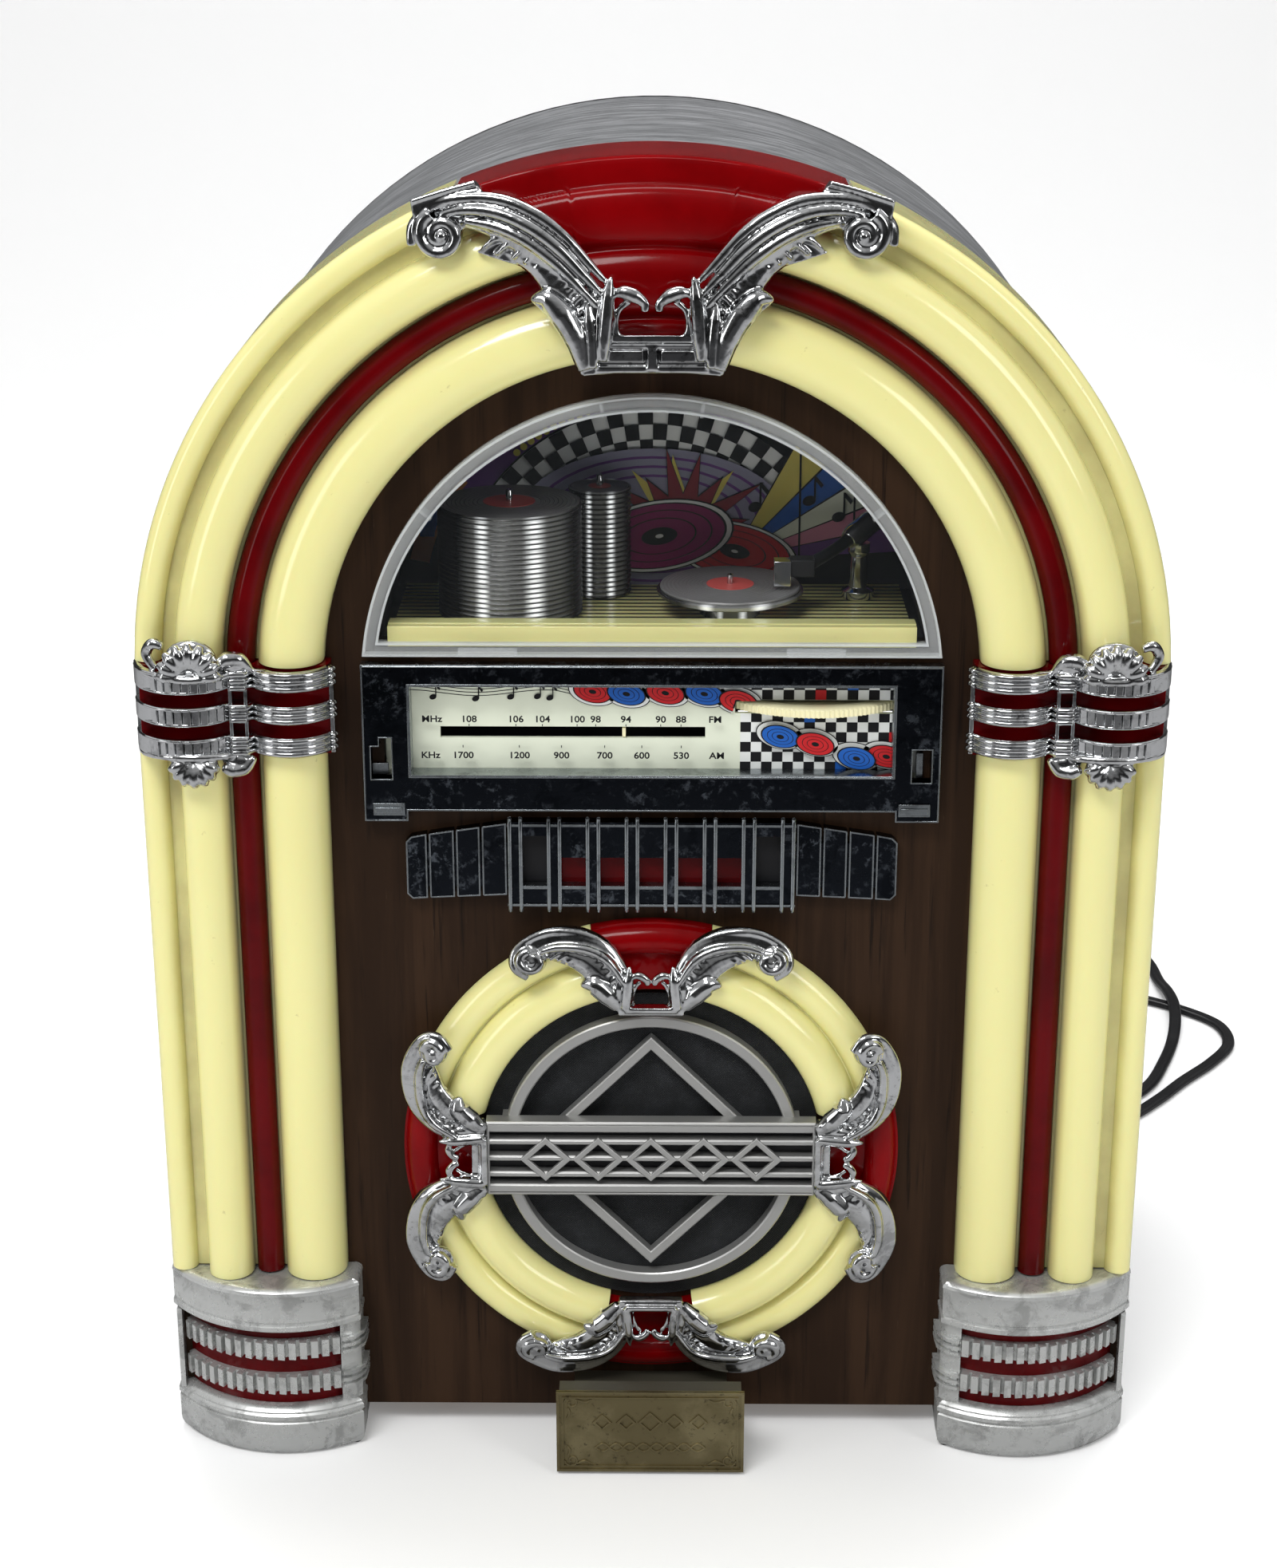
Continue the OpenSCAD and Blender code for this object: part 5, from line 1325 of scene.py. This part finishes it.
def make_bezel():
    s = Shape()
    window = rect(-70.2, 221.6, 70.2, 249.2)
    notch = [(-81.5, 220.7), (-75.5, 220.7), (-75.5, 233.3), (-79, 233.3), (-79, 230.6), (-81.5, 230.6)]
    slot = rect(75.6, 220, 81.2, 230)
    outline = [(-83.3, 255), (-83.3, 208.2), (-71.6, 208.2), (-71.6, 211.4), (71.6, 211.4), (71.6, 208.2),
               (83.3, 208.2), (83.3, 255)]
    pierced(s, outline, [window, notch, slot], 74.0, 78.6)
    for loop, o in ((outline[::-1], -0.5), (window, 0.5), (notch, 0.35), (slot, 0.35)):
        frame_rail(s, loop, [(min(o, 0), 75), (max(o, 0), 75), (max(o, 0), 79), (min(o, 0), 79)], slot=1)
    frame_rail(s, rect(-70.2, 221.6, 70.2, 249.2), [(-0.35, 72.1), (0.0, 72.1), (0.0, 78.9), (-0.35, 78.9)],
               slot=1)
    s.tube([(-83.2, 79, 255.0), (83.2, 79, 255.0)], [0.3, 0.3], 4, 8, slot=1)
    for x in (-76.6, 76.6):
        s.box((x - 4.6, 78.0, 209.6), (x + 4.6, 79.4, 213.4), 1)
        s.box((x - 3.9, 79.2, 210.6), (x + 3.9, 79.9, 212.2), 1)
    s.box((-81.6, 74.2, 221.0), (-76.8, 75.4, 224.4), 1)
    s.box((77.0, 74.2, 220.3), (79.0, 75.4, 228.0), 1)
    s.piece("bezel_frame", "cabinet", [WORN_CHROME, EDGE_CHROME], "worn_chrome", replaces=("dial_bezel",),
            bevel=0.12)


def make_selector():
    s = Shape()
    pitch, rib = 11.43, 1.6
    posts = [(k - 3.5) * pitch for k in range(8)]
    holes = []
    for k in range(7):
        x0, x1 = posts[k] + rib, posts[k + 1] - rib
        holes.append(rect(x0 + 0.1, 187.3, x1 - 0.1, 203.0 if k in (0, 6) else 196.2))
    pierced(s, rect(-42.2, 180.6, 42.2, 207.2), holes, 74.0, 78.4)
    for x in posts:
        for side in (-rib, rib):
            s.tube([(x + side, 78.0, 179.9), (x + side, 79.2, 180.6), (x + side, 79.3, 193),
                    (x + side, 79.2, 207.2), (x + side, 78.0, 207.9)],
                   [0.62, 0.62], 16, 10, slot=1)
    for z in (206.4, 181.3):
        s.box((-42.4, 78.0, z - 0.35), (42.4, 78.95, z + 0.35), 1)
    for k in range(7):
        x0, x1 = posts[k] + rib + 0.5, posts[k + 1] - rib - 0.5
        s.box((x0, 75.2, 186.4), (x1, 78.9, 187.4), 1)
    for side in (-1, 1):
        edges = (42.4, 50.2, 57.8, 65.8, 72.6)
        for k in range(4):
            a, b = edges[k] + 0.35, edges[k + 1] - 0.35
            top_a, top_b = 206.6 - 0.145 * (a - 42.4), 206.6 - 0.145 * (b - 42.4)
            foot_a, foot_b = 184.0 - 0.045 * (a - 42.4), 184.0 - 0.045 * (b - 42.4)
            corner = 1.6 if k == 3 else 0.3
            block = [(a, foot_a), (b - corner, foot_b), (b, foot_b + corner), (b, top_b - corner),
                     (b - corner, top_b), (a, top_a)]
            block = [(side * x, z) for x, z in block][::side]
            s.plate(block, 74.0, 77.3)
            frame_rail(s, block, [(-0.45, 76.6), (0, 76.6), (0, 77.5), (-0.45, 77.5)], slot=1)
    s.box((-72.4, 74.0, 186), (-42, 75.8, 200))
    s.box((42, 74.0, 186), (72.4, 75.8, 200))
    s.piece("selector_frame", "cabinet", [WORN_CHROME, EDGE_CHROME], "worn_chrome",
            replaces=("selector_trim",), bevel=0.14)
    lens = Shape()
    for k in range(1, 6):
        lens.box((posts[k] + 1.2, 74.1, 187.0), (posts[k + 1] - 1.2, 75.4, 196.6), 0)
    for k in (0, 6):
        lens.box((posts[k] + 1.2, 74.1, 187.0), (posts[k + 1] - 1.2, 74.6, 203.4), 1)
    lens.piece("selector_lamps", "cabinet", [DARK_RED, BLACK], "dark_red_lens", replaces=("selector_lens",),
               bevel=0.2)


def knurled(s, centre, axis, radius, half, teeth, depth, hub):
    """Wheel with a toothed rim and a dished side, turning about z or h."""
    rings = []
    for offset, r, toothed in ((-half, hub, 0), (-half, radius - 1.4, 0), (-half + 0.35, radius, 1),
                               (half - 0.55, radius, 1), (half - 0.2, radius - 0.5, 0),
                               (half, radius - 1.1, 0), (half, 0.87 * radius, 0),
                               (half - 0.5, 0.85 * radius, 0), (half - 0.5, hub, 0)):
        ring = []
        for k, a in enumerate(full_turn(4 * teeth)):
            q = r - (depth if toothed and k % 4 in (2, 3) else 0)
            u, v = q * math.cos(a), q * math.sin(a)
            ring.append((centre[0] + u, centre[1] + v, centre[2] + offset) if axis == "z"
                        else (centre[0] + u, centre[1] + offset, centre[2] + v))
        rings.append(ring)
    s.rings(rings)


def make_tuning_wheel():
    s = Shape()
    knurled(s, (WHEEL_X, WHEEL_H, 241.0), "z", 34.0, 1.5, 150, 0.35, 4.0)
    s.lathe([(0.1, 226), (2.4, 226), (2.4, 237.4), (6.9, 237.6), (6.9, 239.6), (0.1, 239.6)],
            (WHEEL_X, WHEEL_H, 0), "z", 40)
    s.piece("tuning_thumbwheel", "tuning_knob", WHEEL_CREAM, "cream_plastic", replaces=("tuning_wheel",))


def make_dial_shade():
    """Folded black sheet behind the pointer's rail, which keeps daylight out of the slot: a dark sheet put in
    for the shade seen through it.
    """
    s = Shape()
    s.box((-73.5, 59.4, 219.1), (17.5, 60.0, 238.6))
    s.box((-73.5, 55.6, 219.05), (17.5, 59.5, 219.65))
    s.box((-73.5, 56.2, 238.0), (17.5, 59.5, 238.6))
    for x in (-73.5, 16.9):
        s.box((x, 56.2, 219.6), (x + 0.6, 59.5, 238.1))
    s.piece("dial_shade", "cabinet", BLACK, "black_plastic", bevel=0.15)


make_dial_plate()
make_dial_shade()
make_bezel()
make_selector()
make_tuning_wheel()
dress(WHEEL_CREAM, "dial_pointer")


# ---------- crest, plaque and sides ----------

CREST_EDGE = [(16.5, 352), (33, 376), (54, 382), (58, 400)]


def crest_radius(turn):
    """Radius at which the crest starts, at an angle from the top: it narrows to a V under the wings."""
    if turn < math.atan2(16.5, 102):
        return 94.7
    for (ax, az), (bx, bz) in zip(CREST_EDGE, CREST_EDGE[1:]):
        dx, dz = bx - ax, bz - az
        across = math.sin(turn) * dz - math.cos(turn) * dx
        r = (ax * dz - (az - SPRING_Z) * dx) / across
        share = (r * math.sin(turn) - ax) / dx
        if -0.001 <= share <= 1.001:
            return min(r, 148.0)
    return 148.0


def section_height(points, r):
    """Height of a section given as r, h points from the outside in."""
    for (r0, h0), (r1, h1) in zip(points, points[1:]):
        if r0 >= r >= r1 and r0 > r1:
            return h0 + (h1 - h0) * (r0 - r) / (r0 - r1)
    return points[-1][1] if r < points[-1][0] else points[0][1]


def make_crest():
    """Stepped red crest: a thin rim, a broad band, a bulging middle and an inner roll."""
    section = [(CASE_R, 76), (CASE_R, 79.4), (148.2, 80.6), (143.0, 81.2), (141.8, 81.6), (141.2, 83.4),
               (139.2, 84.9), (135, 85.6), (130.5, 85.5), (127.4, 84.6), (126.0, 82.8), (124.6, 82.7),
               (123.4, 84.0), (120.4, 85.5), (116, 86.0), (111.6, 85.6), (108.4, 84.4), (106.8, 82.6),
               (105.6, 82.6), (104.4, 83.8), (101.8, 84.9), (98.6, 84.4), (96.2, 82.2), (94.9, 78.4),
               (94.7, 76)]
    smooth = [(p.x, p.y) for p in (spline([(r, h, 0) for r, h in section], k / 160) for k in range(161))]
    s = Shape()
    rings = []
    for k in range(101):
        turn = math.radians(-21.4 + 42.8 * k / 100)
        inner = crest_radius(abs(turn))
        ring = [(CASE_R, 74)] + [(r, section_height(smooth, r))
                                 for r in (CASE_R + (inner - CASE_R) * j / 120 for j in range(121))]
        rings.append([(r * math.sin(turn), h, SPRING_Z + r * math.cos(turn)) for r, h in ring
                      + [(inner, 74)]])
    s.rings(rings)
    back = ((147.3, 45), (CASE_R, 45), (CASE_R, 76.5), (147.3, 76.5))
    s.rings([[(r * math.sin(a), h, SPRING_Z + r * math.cos(a)) for r, h in back]
             for a in (math.radians(-21.3 + 42.6 * k / 60) for k in range(61))])
    s.piece("crest_lens", "cabinet", BRIGHT_RED, "red_lens", replaces=("crown_crest",))


def make_plaque():
    s = Shape()
    s.plate(rect(-28.9, 1.1, 28.9, 29.4), 100.5, 101.3)
    for inset, w in ((0.0, 0.9), (1.8, 0.4)):
        loop = rect(-28.9 + inset, 1.1 + inset, 28.9 - inset, 29.4 - inset)
        frame_rail(s, loop, [(-w, 101), (0, 101), (0, 101.75), (-w, 101.75)])
    for sx in (-1, 1):
        for sz in (-1, 1):
            cx, cz = sx * 24.2, 15.25 + sz * 10.2
            turns = [(cx + sx * (2.3 - 1.8 * k / 12) * math.cos(math.radians(35 * k)), 101.5,
                      cz + sz * (2.3 - 1.8 * k / 12) * math.sin(math.radians(35 * k))) for k in range(13)]
            s.tube(turns, [0.3, 0.3], 40, 8)
            s.tube([(cx - sx * 1.5, 101.5, cz + sz * 1.2), (cx - sx * 4, 101.5, cz + sz * 0.3),
                    (cx - sx * 6.4, 101.5, cz + sz * 1.4)],
                   [0.3, 0.45, 0.15], 20, 8)
            s.tube([(cx + sx * 1.2, 101.5, cz - sz * 1.6), (cx + sx * 0.6, 101.5, cz - sz * 3.6),
                    (cx + sx * 1.6, 101.5, cz - sz * 5.4)],
                   [0.3, 0.45, 0.15], 20, 8)
    for k in (-2, -1, 0, 1, 2):
        w = 3.0 if k else 3.8
        frame_rail(s, [(k * 7.4 + w, 18.6), (k * 7.4, 18.6 + w), (k * 7.4 - w, 18.6), (k * 7.4, 18.6 - w)],
                   [(-0.7, 101), (0, 101), (0, 101.8), (-0.7, 101.8)])
    wave = [(x, 101.5, 9.6 + 1.4 * math.sin(0.75 * x)) for x in range(-17, 18)]
    s.tube(wave, [0.32, 0.32], 140, 8)
    s.tube([(x, h, 19.2 - z) for x, h, z in wave], [0.32, 0.32], 140, 8)
    s.piece("plaque_relief", "cabinet", BRASS, "aged_brass", replaces=("plaque_plate",))


def on_side(s, points, faces, y, z, face_x, side):
    """Puts letter points (across, up, out) on the left (-1) or right (1) side of the case."""
    s.add([(side * (face_x + c), -(y + side * a), z + b) for a, b, c in points], faces)


def side_prism(s, outline, x0, x1):
    """Prism along x from an outline of y, z."""
    s.rings([[(x, -y, z) for y, z in outline] for x in (x0, x1)])


def make_side_controls():
    for name, y, body in (("volume", 0, "volume_knob"), ("tone", 26, "tone_knob")):
        s = Shape()
        knurled(s, (CONTROL_X, -y, CONTROL_Z), "h", 16.4, 2.5, 60, 0.5, 1.4)
        s.lathe([(0.1, -6.5), (1.5, -6.5), (1.5, 6.5), (0.1, 6.5)], (CONTROL_X, -y, CONTROL_Z), "h", 24)
        s.piece(f"{name}_thumbwheel", body, BLACK, "black_plastic", replaces=(f"{name}_wheel",))
    for name, z, body in (("band", 164, "band_slider"), ("function", 186, "function_slider")):
        s = Shape()
        s.box((-149.2, -56, z - 3), (-148.5, -48, z + 3))
        for k in (-3, -1.5, 0, 1.5, 3):
            s.box((-149.8, -52 - k - 0.4, z - 2.7), (-149.1, -52 - k + 0.4, z + 2.7))
        s.box((-148.6, -53.5, z - 1.1), (-134.3, -50.5, z + 1.1))
        s.piece(f"{name}_slide", body, SATIN, "satin_silver", replaces=(f"{name}_switch",), bevel=0.15)
    marks = Shape()
    for words, y, z, size in (("VOLUME", 0, 194.5, 3.4), ("TONE", 26, 194.5, 3.4),
                              ("FM   AM", 57, 170.5, 3.0), ("TAPE  RADIO", 57, 192.5, 3.0)):
        points, faces = lettering(words, size)
        on_side(marks, points, faces, y, z, 148.2, -1)
    for outline in (rect(-17, 150.3, 77, 150.8), rect(-17, 199.2, 77, 199.7), rect(-17, 150.3, -16.5, 199.7),
                    rect(76.5, 150.3, 77, 199.7)):
        side_prism(marks, outline, -148.1, -148.25)
    for y in (0, 26):
        side_prism(marks, [(y - 9, 152.4), (y + 9, 151.2), (y + 9, 153.6)], -148.1, -148.25)
    marks.piece("panel_marks", "cabinet", INK["white"], "print_card", smooth=False)


def make_deck():
    s = Shape()
    y0, y1, z0, z1 = -20, 64, 130, 184
    for a, b, c, d in ((y0, y1, z1 - 1.4, z1), (y0, y1, z0, z0 + 1.4), (y0, y0 + 1.4, z0, z1),
                       (y1 - 1.4, y1, z0, z1)):
        side_prism(s, rect(a, c, b, d), 148.1, 149.2)
    for k in range(5):
        side_prism(s, rect(-28, 121 + 1.5 * k, 72, 121.7 + 1.5 * k), 148.1, 148.8)
    s.piece("door_frame_lines", "tape_door", SATIN, "satin_silver", bevel=0.15)
    glass = Shape()
    side_prism(glass, rect(y0 + 1.6, z0 + 1.6, y1 - 1.6, z1 - 1.6), 148.32, 148.9)
    glass.piece("door_window", "tape_door", CLEAR, "clear_cover")
    marks = {"key_play": (56, [[(-3, -3), (3.2, 0), (-3, 3)]]),
             "key_stop": (-12, [rect(-2.6, -2.6, 2.6, 2.6)]),
             "key_forward": (22, [[(-4, -2.8), (0, 0), (-4, 2.8)], [(0.2, -2.8), (4.2, 0), (0.2, 2.8)]])}
    for node, (y, shapes) in marks.items():
        s = Shape()
        for outline in shapes:
            side_prism(s, [(y + a, 204 + b) for a, b in outline], 149.5, 149.75)
        s.piece(node + "_mark",
                {"key_play": "play_key", "key_stop": "stop_key", "key_forward": "forward_key"}[node],
                INK["black"], "black_plastic", smooth=False)


make_crest()
make_plaque()
make_side_controls()
make_deck()
dress(BLACK, "cassette_door")
dress(SATIN, "key_stop", "key_forward", "key_play")


# ---------- floor, backdrop and lights ----------

def make_floor():
    """Pale floor that curves up into a backdrop."""
    paper = Finish("studio_paper", (0.86, 0.86, 0.86), 0.9)
    mirrored = paper.node("LightPath").outputs["Is Glossy Ray"]
    paper.tint(mirrored, (0.36, 0.36, 0.365))
    paper.tint(paper.math("MULTIPLY", mirrored, paper.mask(paper.axis("Y"), -0.30, -0.95)),
               (0.02, 0.02, 0.022))
    paper.tint(paper.math("MULTIPLY", mirrored, paper.mask(paper.axis("Y"), 0.25, 0.80)), (0.05, 0.05, 0.05))
    paper.bump(paper.noise(400.0, 2.0), 0.01, 0.2)
    paper.shader.inputs["Emission Color"].default_value = (1, 1, 1, 1)
    glow = paper.math("MULTIPLY", paper.math("SUBTRACT", 1.0, mirrored), 0.13)
    paper.link(glow, paper.shader.inputs["Emission Strength"])
    profile = [(2200, 0), (-1300, 0)] + [(-1300 - 700 * math.sin(a), 700 - 700 * math.cos(a))
                                         for a in (math.pi / 2 * k / 16 for k in range(17))] + [(-2000, 2600)]
    verts = [(x, h, z - 0.05) for h, z in profile for x in (-9000, 9000)]
    faces = [[2 * k, 2 * k + 1, 2 * k + 3, 2 * k + 2] for k in range(len(profile) - 1)]
    mesh = bpy.data.meshes.new("studio_floor")
    mesh.from_pydata([(x * MM, -h * MM, z * MM) for x, h, z in verts], [], faces)
    mesh.materials.append(paper.material)
    mesh.polygons.foreach_set("use_smooth", [True] * len(mesh.polygons))
    floor = bpy.data.objects.new("studio_floor", mesh)
    bpy.context.collection.objects.link(floor)


def area_light(name, place, size, power):
    """Soft white light aimed at the middle of the front."""
    data = bpy.data.lights.new(name, "AREA")
    data.shape = "RECTANGLE"
    data.size, data.size_y = size
    data.energy = power
    lamp = bpy.data.objects.new(name, data)
    lamp.location = place
    lamp.rotation_euler = (Vector((0, 0, 0.2)) - Vector(place)).to_track_quat("-Z", "Y").to_euler()
    bpy.context.collection.objects.link(lamp)


def make_sky():
    """Dim sky, darker below and in front, that the camera itself sees as plain white."""
    world = bpy.data.worlds.new("studio")
    bpy.context.scene.world = world
    world.use_nodes = True
    tree = world.node_tree
    back = tree.nodes["Background"]
    back.inputs["Strength"].default_value = 0.75
    ramp = tree.nodes.new("ShaderNodeValToRGB")
    height = tree.nodes.new("ShaderNodeSeparateXYZ")
    where = tree.nodes.new("ShaderNodeTexCoord")
    tree.links.new(where.outputs["Generated"], height.inputs[0])
    tree.links.new(height.outputs["Z"], ramp.inputs["Fac"])
    ahead = tree.nodes.new("ShaderNodeMapRange")
    for socket, number in zip(("From Min", "From Max", "To Min", "To Max"), (-0.9, 0.5, 0.35, 1.0)):
        ahead.inputs[socket].default_value = number
    tree.links.new(height.outputs["Y"], ahead.inputs["Value"])
    dimmed = tree.nodes.new("ShaderNodeVectorMath")
    dimmed.operation = "SCALE"
    tree.links.new(ramp.outputs["Color"], dimmed.inputs[0])
    tree.links.new(ahead.outputs["Result"], dimmed.inputs["Scale"])
    plain = tree.nodes.new("ShaderNodeMix")
    plain.data_type = "RGBA"
    plain.inputs["B"].default_value = (1.3, 1.3, 1.3, 1)
    tree.links.new(tree.nodes.new("ShaderNodeLightPath").outputs["Is Camera Ray"], plain.inputs["Factor"])
    tree.links.new(dimmed.outputs[0], plain.inputs["A"])
    tree.links.new(plain.outputs["Result"], back.inputs["Color"])
    stops = [(0.0, 0.10), (0.12, 0.12), (0.30, 0.55), (0.65, 1.0)]
    while len(ramp.color_ramp.elements) < len(stops):
        ramp.color_ramp.elements.new(0.5)
    for element, (place, grey) in zip(ramp.color_ramp.elements, stops):
        element.position = place
        element.color = (grey, grey, grey, 1)


make_floor()
area_light("key", (-0.5, -1.1, 1.7), (0.9, 0.5), 21)
area_light("fill", (1.3, -1.2, 0.9), (0.5, 0.9), 5.5)
area_light("top", (0.1, 0.5, 1.9), (1.4, 0.9), 25)
area_light("low", (-1.3, -0.9, 0.5), (0.4, 0.8), 3)
make_sky()
bpy.context.scene.view_settings.view_transform = "Standard"
